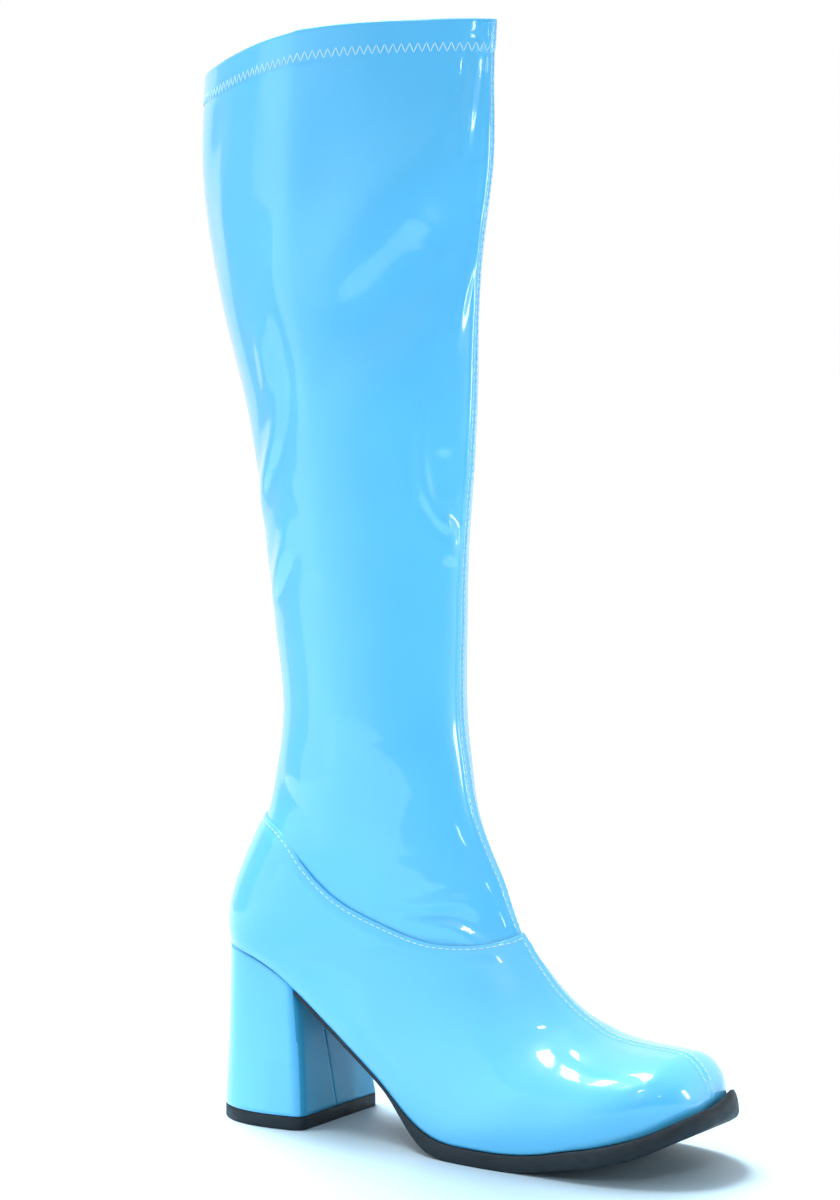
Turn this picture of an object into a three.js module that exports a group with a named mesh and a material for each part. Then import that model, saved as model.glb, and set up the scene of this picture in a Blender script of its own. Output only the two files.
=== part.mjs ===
// A knee-high go-go boot for the right foot, in millimetres: a stretch patent shaft
// with a turned hem, a patent foot part lasted over an insole, a black rubber outsole
// with a rolled toe, and a covered block heel on a rubber top piece.
// +X runs from the heel to the toe, +Y to the inner side of the foot, +Z up.
// The origin is the middle of the heel's face on the floor.
import * as THREE from 'three';
import { mergeVertices } from 'three/addons/utils/BufferGeometryUtils.js';

// Sizes of the last, on which everything is built
const footLength = 239; // back of the heel seat to the toe tip, along the floor
const heelRise = 79; // floor to the back of the heel seat
const ballWidth = 84; // across the widest part of the forefoot
const instepHeight = 94; // floor to the throat, where the vamp meets the shaft
const toeLift = 29; // floor to the feather line at the toe tip
const toeDepth = 21.5; // height of the toe box over its feather line
const toeRoll = 15; // how far behind the tip the toe box starts to turn down
const toeCurve = 60; // how far behind the tip the outline starts to close in
const toePower = 2.5; // how square the toe is in plan (2 is an ellipse)
const quarterHeight = 58.5; // height of the foot part over the seat, at the back

// Sizes of the leg
const bootHeight = 482; // floor to the collar at the front
const ankleHeight = 180; // floor to the narrowest part of the leg
const calfWidth = 86; // across the leg at its widest
const collarDrop = 21; // how much lower the collar is at the back
const hemWidth = 13; // depth of the turned hem at the collar

// Materials
const upperWall = 1.6; // patent and lining of the foot part
const shaftWall = 1.2; // stretch patent of the leg
const hemWall = 2.2; // the shaft doubled over at the collar
const lastingMargin = 12; // what of the upper is turned in under the insole
const lap = 7; // how far the shaft runs down inside the foot part
const lapFade = 26; // over what height the shaft comes out flush above the lap
const edgeSkive = 0.8; // how much thinner the foot part is at its top edge
const insoleThickness = 2.4;
const insoleEase = 1.2; // extra room round the insole's edge
const insoleBed = 0.4; // cement between the insole and the margin under it
const soleThickness = 6.7; // outsole at the ball
const toeThickness = 7.6; // outsole at the toe
const shankThickness = 1.7; // outsole under the arch
const sideLedge = 2; // how far the outsole stands out at the ball
const toeLedge = 6; // how far it stands out at the toe
const toeLip = 1.2; // how far its edge is rolled up round the toe
const flatDepth = 0.25; // how far the tread is pressed flat under the ball

// Heel
const heelLength = 53; // of the face on the floor
const heelWidth = 66.5; // of the face on the floor
const heelPower = 2.4; // how square the face is at its back
const heelCurve = 0.62; // share of its length over which the back is rounded
const heelTaper = 0.055; // how much narrower it is at the breast, as a share
const topPieceThickness = 6;
const seatLength = 44; // back of the seat to the breast, at the top of the heel
const breastRadius = 5.5; // of the corners beside the breast
const heelWaist = 1.2; // how far the heel draws in between its top and the floor

const clearance = 0.3; // between pieces that touch
const heelBack = -24.5; // where the back of the heel seat is

// Mesh density
const sideColumns = 18; // from the front of a section round one side to its back
const frontStart = 14; // how far the row through the seat's back leads on the ridge
const footRows = 30;
const quarterRows = 5;
const legRows = 12;
const soleColumns = 6;
const heelStations = 12;
const heelLevels = 4;
const topPieceLevels = 1;

// The feather line's height, along the foot from the heel back (0) to the toe tip (1).
// Behind the ball it is a share of the heel's rise, past the ball one of the toe's lift.
const featherProfile = [
  { along: -0.06, rise: 1.01, spring: 0 },
  { along: 0, rise: 1, spring: 0 },
  { along: 0.05, rise: 0.974, spring: 0 },
  { along: 0.1, rise: 0.923, spring: 0 },
  { along: 0.15, rise: 0.843, spring: 0 },
  { along: 0.2, rise: 0.732, spring: 0 },
  { along: 0.25, rise: 0.607, spring: 0 },
  { along: 0.3, rise: 0.484, spring: 0 },
  { along: 0.35, rise: 0.37, spring: 0 },
  { along: 0.4, rise: 0.254, spring: 0 },
  { along: 0.45, rise: 0.127, spring: 0 },
  { along: 0.5, rise: 0.04, spring: 0 },
  { along: 0.55, rise: 0.004, spring: 0 },
  { along: 0.6, rise: 0, spring: 0 },
  { along: 0.65, rise: 0, spring: 0 },
  { along: 0.7, rise: 0, spring: 0.03 },
  { along: 0.75, rise: 0, spring: 0.11 },
  { along: 0.8, rise: 0, spring: 0.235 },
  { along: 0.85, rise: 0, spring: 0.35 },
  { along: 0.9, rise: 0, spring: 0.5 },
  { along: 0.95, rise: 0, spring: 0.7 },
  { along: 1, rise: 0, spring: 1 },
  { along: 1.05, rise: 0, spring: 1.31 },
];

// Level sections of the leg, from above the collar down to the ankle. up is the share
// of the leg from ankle to collar, front and back are shares of the foot's length from
// the heel back, half is the half width over the calf's width, and edge is how sharply
// the leg is folded at its front and back seams (1 is round).
const legSections = [
  { up: 1.1, front: 0.547, back: -0.068, half: 0.46, edge: 1.34 },
  { up: 1.0, front: 0.547, back: -0.072, half: 0.48, edge: 1.34 },
  { up: 0.9, front: 0.545, back: -0.083, half: 0.5, edge: 1.34 },
  { up: 0.79, front: 0.54, back: -0.086, half: 0.505, edge: 1.33 },
  { up: 0.69, front: 0.526, back: -0.068, half: 0.5, edge: 1.32 },
  { up: 0.58, front: 0.511, back: -0.034, half: 0.49, edge: 1.3 },
  { up: 0.47, front: 0.505, back: 0.01, half: 0.475, edge: 1.27 },
  { up: 0.36, front: 0.496, back: 0.042, half: 0.452, edge: 1.23 },
  { up: 0.25, front: 0.485, back: 0.063, half: 0.425, edge: 1.19 },
  { up: 0.12, front: 0.48, back: 0.086, half: 0.4, edge: 1.15 },
  { up: 0, front: 0.481, back: 0.102, half: 0.39, edge: 1.12 },
];

// Sections that fan from the ankle down the heel back. ridge is the point on the
// instep, base the one on the heel back: x as a share of the foot's length, the
// base's z as one of the heel's rise, and the ridge's fall as the share of the drop
// from throat to toe box. half is over the ball's width, wide says where between
// ridge and base the section is widest, and edge and heel are their sharpness.
const heelSections = [
  { ridgeX: 0.492, fall: 2.57, baseX: 0.089, baseZ: 1.987, half: 0.39, wide: 0.52, edge: 1.1, heel: 1.04 },
  { ridgeX: 0.505, fall: 2.2, baseX: 0.064, baseZ: 1.743, half: 0.388, wide: 0.56, edge: 1.1, heel: 1 },
  { ridgeX: 0.531, fall: 1.83, baseX: 0.031, baseZ: 1.525, half: 0.386, wide: 0.62, edge: 1.1, heel: 0.95 },
  { ridgeX: 0.567, fall: 1.46, baseX: 0, baseZ: 1.298, half: 0.38, wide: 0.69, edge: 1.1, heel: 0.91 },
  { ridgeX: 0.602, fall: 1.09, baseX: -0.01, baseZ: 1.09, half: 0.373, wide: 0.75, edge: 1.08, heel: 0.88 },
];

// Sections of the foot from the seat to the toe, standing on the feather line. at and
// top are where they start on it and on the ridge, as shares of the foot's length. out
// and in are the half widths over the ball's width before the toe closes in, and tuck is
// the feather line's share of them. The rest is as above.
const footSections = [
  { at: 0, top: 0.619, fall: 0.91, out: 0.366, in: 0.366, tuck: 0.87, wide: 0.79, edge: 1.03, heel: 0.87 },
  { at: 0.08, top: 0.645, fall: 0.7, out: 0.364, in: 0.364, tuck: 0.88, wide: 0.8, edge: 0.98, heel: 0.87 },
  { at: 0.18, top: 0.672, fall: 0.53, out: 0.364, in: 0.36, tuck: 0.89, wide: 0.8, edge: 0.95, heel: 0.88 },
  { at: 0.3, top: 0.7, fall: 0.384, out: 0.381, in: 0.352, tuck: 0.87, wide: 0.79, edge: 0.93, heel: 0.92 },
  { at: 0.42, top: 0.733, fall: 0.245, out: 0.428, in: 0.385, tuck: 0.9, wide: 0.77, edge: 0.92, heel: 0.96 },
  { at: 0.54, top: 0.765, fall: 0.15, out: 0.486, in: 0.45, tuck: 0.95, wide: 0.75, edge: 0.92, heel: 1 },
  { at: 0.65, top: 0.792, fall: 0.078, out: 0.508, in: 0.498, tuck: 0.965, wide: 0.73, edge: 0.92, heel: 1 },
  { at: 0.75, top: 0.836, fall: 0.03, out: 0.504, in: 0.512, tuck: 0.965, wide: 0.71, edge: 0.92, heel: 1 },
  { at: 0.84, top: 0.886, fall: 0.011, out: 0.5, in: 0.503, tuck: 0.965, wide: 0.69, edge: 0.92, heel: 1 },
  { at: 0.92, top: 0.941, fall: -0.005, out: 0.495, in: 0.485, tuck: 0.965, wide: 0.67, edge: 0.92, heel: 1 },
  { at: 1, top: 1, fall: -0.034, out: 0.485, in: 0.465, tuck: 0.965, wide: 0.65, edge: 0.92, heel: 1 },
];

// The outsole's side from the feather line down: out is the share of the ledge, lip of
// the rolled edge and down of the thickness.
const soleSide = [
  { out: 0, lip: 0, down: 0 },
  { out: 0.5, lip: 1, down: 0 },
  { out: 0.75, lip: 0.7, down: 0.08 },
  { out: 1, lip: 0, down: 0.66 },
  { out: 0.85, lip: 0, down: 1 },
];

// Where the outsole comes to its full thickness and its ledge, along the foot
const soleSteps = {
  thickenFrom: 0.395,
  thickenTo: 0.51,
  ledgeFrom: 0.36,
  ledgeTo: 0.55,
  toeFrom: 0.72,
  toeTo: 0.98,
};

// The seam between shaft and foot part, from the throat round to the back: climb is the
// share of the way from the throat up to the top of the quarters.
const seamLine = [
  { turn: 0, climb: 0 },
  { turn: 0.1, climb: -0.04 },
  { turn: 0.2, climb: -0.07 },
  { turn: 0.26, climb: -0.035 },
  { turn: 0.32, climb: 0.085 },
  { turn: 0.39, climb: 0.265 },
  { turn: 0.48, climb: 0.56 },
  { turn: 0.56, climb: 0.74 },
  { turn: 0.66, climb: 0.88 },
  { turn: 0.82, climb: 0.97 },
  { turn: 1, climb: 1 },
];

// How far the collar has come down to its height at the back
const collarLine = [
  { turn: 0, drop: 0 },
  { turn: 0.2, drop: 0.02 },
  { turn: 0.4, drop: 0.13 },
  { turn: 0.5, drop: 0.23 },
  { turn: 0.6, drop: 0.37 },
  { turn: 0.7, drop: 0.6 },
  { turn: 0.8, drop: 0.83 },
  { turn: 0.9, drop: 0.96 },
  { turn: 1, drop: 1 },
];

// Natural cubic through a table's column
function spline(places, values) {
  const last = places.length - 1;
  const bend = new Array(last + 1).fill(0);
  const work = new Array(last + 1).fill(0);
  for (let i = 1; i < last; i += 1) {
    const before = places[i] - places[i - 1];
    const after = places[i + 1] - places[i];
    const share = before / (before + after);
    const pivot = share * bend[i - 1] + 2;
    const turn = (values[i + 1] - values[i]) / after - (values[i] - values[i - 1]) / before;
    bend[i] = (share - 1) / pivot;
    work[i] = ((6 * turn) / (before + after) - share * work[i - 1]) / pivot;
  }
  for (let i = last - 1; i > 0; i -= 1) {
    bend[i] = bend[i] * bend[i + 1] + work[i];
  }
  return (place) => {
    const at = Math.min(Math.max(place, places[0]), places[last]);
    let i = 0;
    while (i < last - 1 && places[i + 1] < at) i += 1;
    const width = places[i + 1] - places[i];
    const a = (places[i + 1] - at) / width;
    const b = 1 - a;
    const sag = ((a ** 3 - a) * bend[i] + (b ** 3 - b) * bend[i + 1]) * ((width * width) / 6);
    return a * values[i] + b * values[i + 1] + sag;
  };
}

function column(rows, name) {
  return rows.map((row) => row[name]);
}

// Eases from 0 to 1 between two places
function step(from, to, place) {
  const t = THREE.MathUtils.clamp((place - from) / (to - from), 0, 1);
  return t * t * (3 - 2 * t);
}

// The height of a round end: 1 where the curve starts, 0 at its tip
function roundOff(share, power) {
  const t = THREE.MathUtils.clamp(share, 0, 1);
  return (1 - t ** power) ** (1 / power);
}

// Where a falling or rising function of one size reaches a value
function solve(measure, value, from, to) {
  let low = from;
  let high = to;
  const rising = measure(high) > measure(low);
  for (let i = 0; i < 50; i += 1) {
    const middle = (low + high) / 2;
    if (measure(middle) > value === rising) high = middle;
    else low = middle;
  }
  return (low + high) / 2;
}

// The feather line's height at a place along X
const ballHeight = soleThickness + clearance;
const featherPlaces = featherProfile.map((row) => heelBack + row.along * footLength);
const featherHeight = spline(
  featherPlaces,
  featherProfile.map((row) =>
    ballHeight + row.rise * (heelRise - ballHeight) + row.spring * (toeLift - ballHeight)),
);

// All sections in millimetres. The foot is measured by a walk: negative up the heel
// back and the leg, zero at the back of the seat, then along the foot to its length.
const toeTop = toeLift + toeDepth;
const ridgeHeight = (fall) => toeTop + fall * (instepHeight - toeTop);
const footX = (share) => heelBack + share * footLength;

const seat = { baseX: heelBack, baseZ: featherHeight(heelBack) };
const climbing = [
  ...legSections.map((row) => {
    const height = ankleHeight + row.up * (bootHeight - ankleHeight);
    return {
      ridgeX: footX(row.front),
      ridgeZ: height,
      baseX: footX(row.back),
      baseZ: height,
      outer: row.half * calfWidth,
      inner: row.half * calfWidth,
      tuck: footSections[0].tuck,
      wide: 0.5,
      edge: row.edge,
      heel: row.edge,
    };
  }),
  ...heelSections.map((row) => ({
    ridgeX: footX(row.ridgeX),
    ridgeZ: ridgeHeight(row.fall),
    baseX: footX(row.baseX),
    baseZ: row.baseZ * heelRise,
    outer: row.half * ballWidth,
    inner: row.half * ballWidth,
    tuck: footSections[0].tuck,
    wide: row.wide,
    edge: row.edge,
    heel: row.heel,
  })),
];
let climbed = 0;
let below = seat;
for (let i = climbing.length - 1; i >= 0; i -= 1) {
  const row = climbing[i];
  climbed -= Math.hypot(row.baseX - below.baseX, row.baseZ - below.baseZ);
  row.walk = climbed;
  below = row;
}
const standing = footSections.map((row) => ({
  walk: row.at * footLength,
  ridgeX: footX(row.top),
  ridgeZ: ridgeHeight(row.fall),
  outer: row.out * ballWidth,
  inner: row.in * ballWidth,
  tuck: row.tuck,
  wide: row.wide,
  edge: row.edge,
  heel: row.heel,
}));
const sections = [...climbing, ...standing];
const walks = column(sections, 'walk');
const along = {};
for (const name of ['ridgeX', 'ridgeZ', 'outer', 'inner', 'tuck', 'wide', 'edge', 'heel']) {
  along[name] = spline(walks, column(sections, name));
}
const backWalks = [...column(climbing, 'walk'), 0];
const backX = spline(backWalks, [...column(climbing, 'baseX'), seat.baseX]);
const backZ = spline(backWalks, [...column(climbing, 'baseZ'), seat.baseZ]);
const topWalk = walks[0];
const toeX = heelBack + footLength;

// The section at a walk: its ridge and base, half widths and roundness
function sectionAt(walk) {
  const open = walk > 0;
  const ridge = new THREE.Vector3(along.ridgeX(walk), 0, along.ridgeZ(walk));
  const roll = (ridge.x - (toeX - toeRoll)) / toeRoll;
  const floor = featherHeight(ridge.x);
  if (roll > 0) ridge.z = floor + (ridge.z - floor) * roundOff(roll, 2);
  const base = open
    ? new THREE.Vector3(heelBack + walk, 0, featherHeight(heelBack + walk))
    : new THREE.Vector3(backX(walk), 0, backZ(walk));
  const closing = roundOff((walk - (footLength - toeCurve)) / toeCurve, toePower);
  const heelPowerHere = 2 / along.heel(walk);
  const widest = along.wide(walk);
  const full = along.tuck(walk);
  // The seat's round back runs on smoothly from the heel's sections above it
  const seatCurve = full ** heelPowerHere * (1 - widest) * ridge.distanceTo(base);
  const opening = open ? roundOff(1 - walk / seatCurve, heelPowerHere) : 0;
  return {
    ridge,
    base,
    outer: along.outer(walk) * closing,
    inner: along.inner(walk) * closing,
    widest,
    tuck: full * opening,
    ridgePower: 2 / along.edge(walk),
    basePower: heelPowerHere,
  };
}

// A point of the last's surface. turn runs from 0 on the ridge to 1 at the base or the
// feather line, and side is -1 on the outer and 1 on the inner side.
function lastPoint(walk, turn, side) {
  const cut = sectionAt(walk);
  const half = side < 0 ? cut.outer : cut.inner;
  let share;
  let across;
  if (turn <= 0.5) {
    const angle = turn * Math.PI;
    share = cut.widest * (1 - Math.cos(angle) ** (2 / cut.ridgePower));
    across = half * Math.sin(angle) ** (2 / cut.ridgePower);
    if (turn === 0.5) share = cut.widest;
  } else {
    const end = Math.acos(cut.tuck ** (cut.basePower / 2));
    const angle = end * (2 * turn - 1);
    const reach = (Math.sin(angle) / Math.sin(end)) ** (2 / cut.basePower);
    share = cut.widest + (1 - cut.widest) * reach;
    across = half * Math.max(Math.cos(angle), 0) ** (2 / cut.basePower);
    if (turn === 1) across = half * cut.tuck;
  }
  const point = cut.ridge.clone().lerp(cut.base, share);
  point.y = side * across;
  return point;
}

// The outward direction of the last's surface
function lastNormal(walk, turn, side) {
  const stride = 0.4;
  const place = Math.min(walk, footLength - stride);
  const turned = 0.01;
  const onSeam = turn === 0 || (turn === 1 && place <= 0);
  const along1 = lastPoint(place + stride, turn, side);
  const along0 = lastPoint(place - stride, turn, side);
  if (place > 0 && place < stride) along0.copy(lastPoint(0, turn, side));
  const forward = along1.sub(along0);
  let sideways;
  if (onSeam) {
    sideways = new THREE.Vector3(0, 1, 0);
    forward.y = 0;
  } else {
    const next = Math.min(turn + turned, 1);
    const previous = Math.max(turn - turned, 0);
    sideways = lastPoint(place, next, side).sub(lastPoint(place, previous, side));
  }
  const normal = forward.cross(sideways).normalize();
  const cut = sectionAt(place);
  const middle = cut.ridge.clone().lerp(cut.base, 0.5);
  if (normal.dot(lastPoint(place, turn, side).sub(middle)) < 0) normal.negate();
  return normal;
}

// The last's surface moved in by a wall, and up on to the turned margin at the bottom
function insidePoint(walk, turn, side, wall) {
  const point = lastPoint(walk, turn, side);
  const liftReach = 10;
  const height = point.z - featherHeight(point.x);
  const inFoot = walk > -2 * liftReach;
  const onFeather = (turn === 1 && walk >= 0) || walk >= footLength;
  const normal = onFeather ? featherNormal(walk, side) : lastNormal(walk, turn, side);
  const moved = point.addScaledVector(normal, -wall);
  if (onFeather) moved.z = bedHeight(moved.x) + wall;
  else if (inFoot && height < liftReach) moved.z += wall * (1 - height / liftReach);
  return moved;
}

// The feather line, its outward direction in plan, and lines beside it
function featherNormal(walk, side) {
  if (walk <= 0) return new THREE.Vector3(-1, 0, 0);
  if (walk >= footLength) return new THREE.Vector3(1, 0, 0);
  const stride = Math.min(0.4, walk / 2, (footLength - walk) / 2);
  const tangent = lastPoint(walk + stride, 1, side).sub(lastPoint(walk - stride, 1, side));
  return new THREE.Vector3(-side * tangent.y, side * tangent.x, 0).normalize();
}

// Beside it the lines run square to it round heel and toe, and level across between
function besideFeather(walk, side, out, lift) {
  const waist = step(seatLength, seatLength + 20, walk);
  const forefoot = step(footLength - 100, footLength - toeCurve, walk);
  const level = new THREE.Vector3(0, side, 0);
  const normal = featherNormal(walk, side).lerp(level, waist - forefoot).normalize();
  const point = lastPoint(walk, 1, side).addScaledVector(normal, out);
  point.z = bedHeight(point.x) + lift;
  return point;
}

// Faces between the rows of a grid of points
function addGrid(faces, rows, flip = false) {
  for (let i = 0; i + 1 < rows.length; i += 1) {
    for (let j = 0; j + 1 < rows[i].length; j += 1) {
      const quad = [rows[i][j], rows[i][j + 1], rows[i + 1][j + 1], rows[i + 1][j]];
      if (flip) quad.reverse();
      faces.push([quad[0], quad[1], quad[2]], [quad[0], quad[2], quad[3]]);
    }
  }
}

// One closed geometry from faces that share their corner points
function closedGeometry(faces) {
  const positions = [];
  for (const face of faces) {
    for (const corner of face) positions.push(corner.x, corner.y, corner.z);
  }
  const loose = new THREE.BufferGeometry();
  loose.setAttribute('position', new THREE.Float32BufferAttribute(positions, 3));
  const merged = mergeVertices(loose, 1e-4);
  const index = merged.getIndex().array;
  const kept = [];
  for (let i = 0; i < index.length; i += 3) {
    const [a, b, c] = [index[i], index[i + 1], index[i + 2]];
    if (a !== b && b !== c && c !== a) kept.push(a, b, c);
  }
  merged.setIndex(kept);
  return merged;
}

// The column stops of a whole section, from the outer side round to the inner side
const columnStops = [];
for (let i = -sideColumns; i <= sideColumns; i += 1) {
  columnStops.push({ turn: Math.abs(i) / sideColumns, side: i < 0 ? -1 : 1 });
}

// The seam between shaft and foot part, and the collar, as walks for each turn
const throatWalk = solve(along.ridgeZ, instepHeight, walks[climbing.length - 3], footLength / 2);
const quarterWalk = solve(backZ, heelRise + quarterHeight, topWalk, 0);

const seamClimb = spline(column(seamLine, 'turn'), column(seamLine, 'climb'));
const collarFall = spline(column(collarLine, 'turn'), column(collarLine, 'drop'));

function seamWalk(turn) {
  return throatWalk + (quarterWalk - throatWalk) * seamClimb(turn);
}

function collarWalk(turn) {
  return solve(backZ, bootHeight - collarDrop * collarFall(turn), topWalk, 0);
}

// The walk that lies a given distance further along the surface
function walkOn(walk, turn, side, distance) {
  const stride = 1;
  const speed = lastPoint(walk + stride, turn, side).distanceTo(lastPoint(walk, turn, side));
  return walk + (distance * stride) / speed;
}

// Stations along the foot, closer together at the heel back and at the toe tip, with
// one where the outsole starts at the breast of the heel
const breastWalk = seatLength + 2 * clearance;
const footStations = [];
for (let i = 0; i <= footRows; i += 1) {
  footStations.push((footLength * (1 - Math.cos((Math.PI * i) / footRows))) / 2);
}
const breastStation = footStations.findIndex((walk, i) =>
  Math.abs(walk - breastWalk) <= Math.abs(footStations[i + 1] - breastWalk));
footStations[breastStation] = breastWalk;

// The bed that insole, upper and outsole share: straight between the stations, so that
// their faces lie alongside each other
function bedHeight(x) {
  const walk = x - heelBack;
  let i = 0;
  while (i < footRows - 1 && footStations[i + 1] < walk) i += 1;
  const from = footStations[i];
  const to = footStations[i + 1];
  const share = (walk - from) / (to - from);
  return THREE.MathUtils.lerp(featherHeight(heelBack + from), featherHeight(heelBack + to), share);
}

function gridOf(rowCount, walkOf, pointOf) {
  const rows = [];
  for (let i = 0; i < rowCount; i += 1) {
    rows.push(columnStops.map(({ turn, side }) => pointOf(walkOf(i, turn, side), turn, side)));
  }
  return rows;
}

// The foot part: vamp and quarters in one shell, turned in under the insole
function upperGeometry() {
  const walkOf = (row, turn, side) => {
    const start = seamWalk(turn);
    if (row === 0) return start;
    const lapped = walkOn(start, turn, side, lap);
    if (row === 1) return (start + lapped) / 2;
    const front = frontStart * (1 - turn) ** 2;
    if (row <= quarterRows + 2) return lapped + ((front - lapped) * (row - 2)) / quarterRows;
    const station = footStations[row - quarterRows - 2];
    return station + front * (1 - station / footLength);
  };
  const rowCount = quarterRows + 3 + footRows;
  const skived = (walk, turn, side) => {
    const depth = edgeSkive * (1 - step(seamWalk(turn), walkOf(2, turn, side), walk));
    const point = lastPoint(walk, turn, side);
    return depth > 0 ? point.addScaledVector(lastNormal(walk, turn, side), -depth) : point;
  };
  const outside = gridOf(rowCount, walkOf, skived);
  const inside = gridOf(rowCount, walkOf, (walk, turn, side) =>
    insidePoint(walk, turn, side, upperWall));
  const faces = [];
  addGrid(faces, outside, true);
  addGrid(faces, inside);
  addGrid(faces, [outside[0], inside[0]]);
  const seatRow = quarterRows + 2;
  for (const side of [-1, 1]) {
    const edge = side < 0 ? 0 : columnStops.length - 1;
    const under = [];
    const over = [];
    const rim = [];
    footStations.forEach((walk, i) => {
      const middle = besideFeather(walk, side, -lastingMargin / 2, 0);
      const end = besideFeather(walk, side, -lastingMargin, 0);
      const middleTop = besideFeather(walk, side, -lastingMargin / 2, upperWall);
      const endTop = besideFeather(walk, side, -lastingMargin, upperWall);
      under.push([outside[seatRow + i][edge], middle, end]);
      over.push([inside[seatRow + i][edge], middleTop, endTop]);
      rim.push([end, endTop]);
    });
    addGrid(faces, under, side > 0);
    addGrid(faces, over, side < 0);
    addGrid(faces, rim, side > 0);
  }
  return closedGeometry(faces);
}

// The leg: one thin tube with its hem turned in, running down inside the foot part
function shaftGeometry() {
  const bottomRow = legRows + 4;
  const walkOf = (row, turn, side) => {
    const top = collarWalk(turn);
    const seam = seamWalk(turn);
    const hem = top + hemWidth;
    if (row === 0) return top;
    if (row === 1) return hem;
    if (row <= legRows + 2) return hem + 1 + (seam - hem - 1) * ((row - 2) / legRows);
    const lapped = walkOn(seam, turn, side, lap);
    return row === bottomRow ? lapped : (seam + lapped) / 2;
  };
  const sunk = (walk, turn) => {
    const seam = seamWalk(turn);
    return (upperWall + clearance) * step(seam - lapFade, seam, walk);
  };
  const outside = gridOf(bottomRow + 1, walkOf, (walk, turn, side) =>
    lastPoint(walk, turn, side).addScaledVector(lastNormal(walk, turn, side), -sunk(walk, turn)));
  const inside = gridOf(bottomRow + 1, walkOf, (walk, turn, side) => {
    const hemmed = walk < collarWalk(turn) + hemWidth + 0.5;
    const depth = sunk(walk, turn) + (hemmed ? hemWall : shaftWall);
    return lastPoint(walk, turn, side).addScaledVector(lastNormal(walk, turn, side), -depth);
  });
  const faces = [];
  addGrid(faces, outside, true);
  addGrid(faces, inside);
  addGrid(faces, [outside[0], inside[0]]);
  addGrid(faces, [inside[bottomRow], outside[bottomRow]]);
  return closedGeometry(faces);
}

// A slab between two curved faces. Each station has a pair of points, outer and inner,
// for every level from its top to its bottom.
function slabGeometry(stations, topHeight, bottomHeight) {
  const across = (pair, height) => {
    const row = [];
    for (let i = 0; i <= soleColumns; i += 1) {
      const point = pair[0].clone().lerp(pair[1], i / soleColumns);
      const inner = i > 0 && i < soleColumns;
      if (inner && height) point.z = height(point);
      row.push(point);
    }
    return row;
  };
  const levels = stations[0].length;
  const faces = [];
  addGrid(faces, stations.map((pairs) => across(pairs[0], topHeight)), true);
  addGrid(faces, stations.map((pairs) => across(pairs[levels - 1], bottomHeight)));
  addGrid(faces, stations.map((pairs) => pairs.map((pair) => pair[0])));
  addGrid(faces, stations.map((pairs) => pairs.map((pair) => pair[1])), true);
  for (const end of [0, stations.length - 1]) {
    const pairs = stations[end];
    const rows = pairs.map((pair, level) => {
      if (level === 0) return across(pair, topHeight);
      return across(pair, level === levels - 1 ? bottomHeight : null);
    });
    addGrid(faces, rows, end !== 0);
  }
  return closedGeometry(faces);
}

// The insole board lies on the upper's turned-in margin
function insoleGeometry() {
  const inset = -(upperWall + clearance + insoleEase);
  const bottom = upperWall + insoleBed;
  const top = bottom + insoleThickness;
  const stations = footStations.map((walk) => [top, bottom].map((lift) =>
    [-1, 1].map((side) => besideFeather(walk, side, inset, lift))));
  return slabGeometry(
    stations,
    (point) => bedHeight(point.x) + top,
    (point) => bedHeight(point.x) + bottom,
  );
}

// The outsole's thickness, ledge and tread
const shareAlong = (x) => (x - heelBack) / footLength;

function outsoleThickness(x) {
  const share = shareAlong(x);
  const ball = step(soleSteps.thickenFrom, soleSteps.thickenTo, share);
  const toe = step(soleSteps.toeFrom, soleSteps.toeTo, share);
  return shankThickness + (soleThickness - shankThickness) * ball
    + (toeThickness - soleThickness) * toe;
}

function treadHeight(x) {
  return Math.max(0, featherHeight(x) - clearance - outsoleThickness(x) - flatDepth);
}

function outsoleGeometry() {
  const stations = footStations.slice(breastStation).map((walk) => {
    const share = walk / footLength;
    const toe = step(soleSteps.toeFrom, soleSteps.toeTo, share);
    const side = sideLedge * step(soleSteps.ledgeFrom, soleSteps.ledgeTo, share);
    const ledge = side + (toeLedge - side) * toe;
    return soleSide.map((row) => [-1, 1].map((edge) => {
      const point = besideFeather(walk, edge, ledge * row.out, -clearance);
      const tread = treadHeight(point.x);
      point.z += toeLip * toe * row.lip - row.down * (point.z - tread);
      return point;
    }));
  });
  return slabGeometry(
    stations,
    (point) => bedHeight(point.x) - clearance,
    (point) => treadHeight(point.x),
  );
}

// The heel's outlines: at the top it follows the seat, on the floor it is a D
function breastCorner(fromBreast) {
  const short = THREE.MathUtils.clamp(1 - fromBreast / breastRadius, 0, 1);
  return breastRadius * (1 - Math.sqrt(1 - short * short));
}

function seatOutline(share, side) {
  const walk = share * seatLength;
  const point = lastPoint(walk, 1, side);
  const drawn = Math.min(breastCorner(seatLength - walk), Math.abs(point.y));
  point.y -= side * drawn;
  point.z = bedHeight(point.x) - clearance;
  return point;
}

function floorOutline(share, side, height) {
  const fromBack = share * heelLength;
  const reach = heelLength * heelCurve;
  const bulge = roundOff(1 - fromBack / reach, heelPower);
  const narrowing = 1 - heelTaper * step(reach, heelLength, fromBack);
  const half = (heelWidth / 2) * bulge * narrowing;
  const drawn = Math.min(breastCorner(heelLength - fromBack), half);
  return new THREE.Vector3(fromBack - heelLength / 2, side * (half - drawn), height);
}

// Shares of the heel from its back to its breast, closer together at both ends
const heelShares = [];
for (let i = 0; i <= heelStations; i += 1) {
  heelShares.push((1 - Math.cos((Math.PI * i) / heelStations)) / 2);
}

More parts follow.
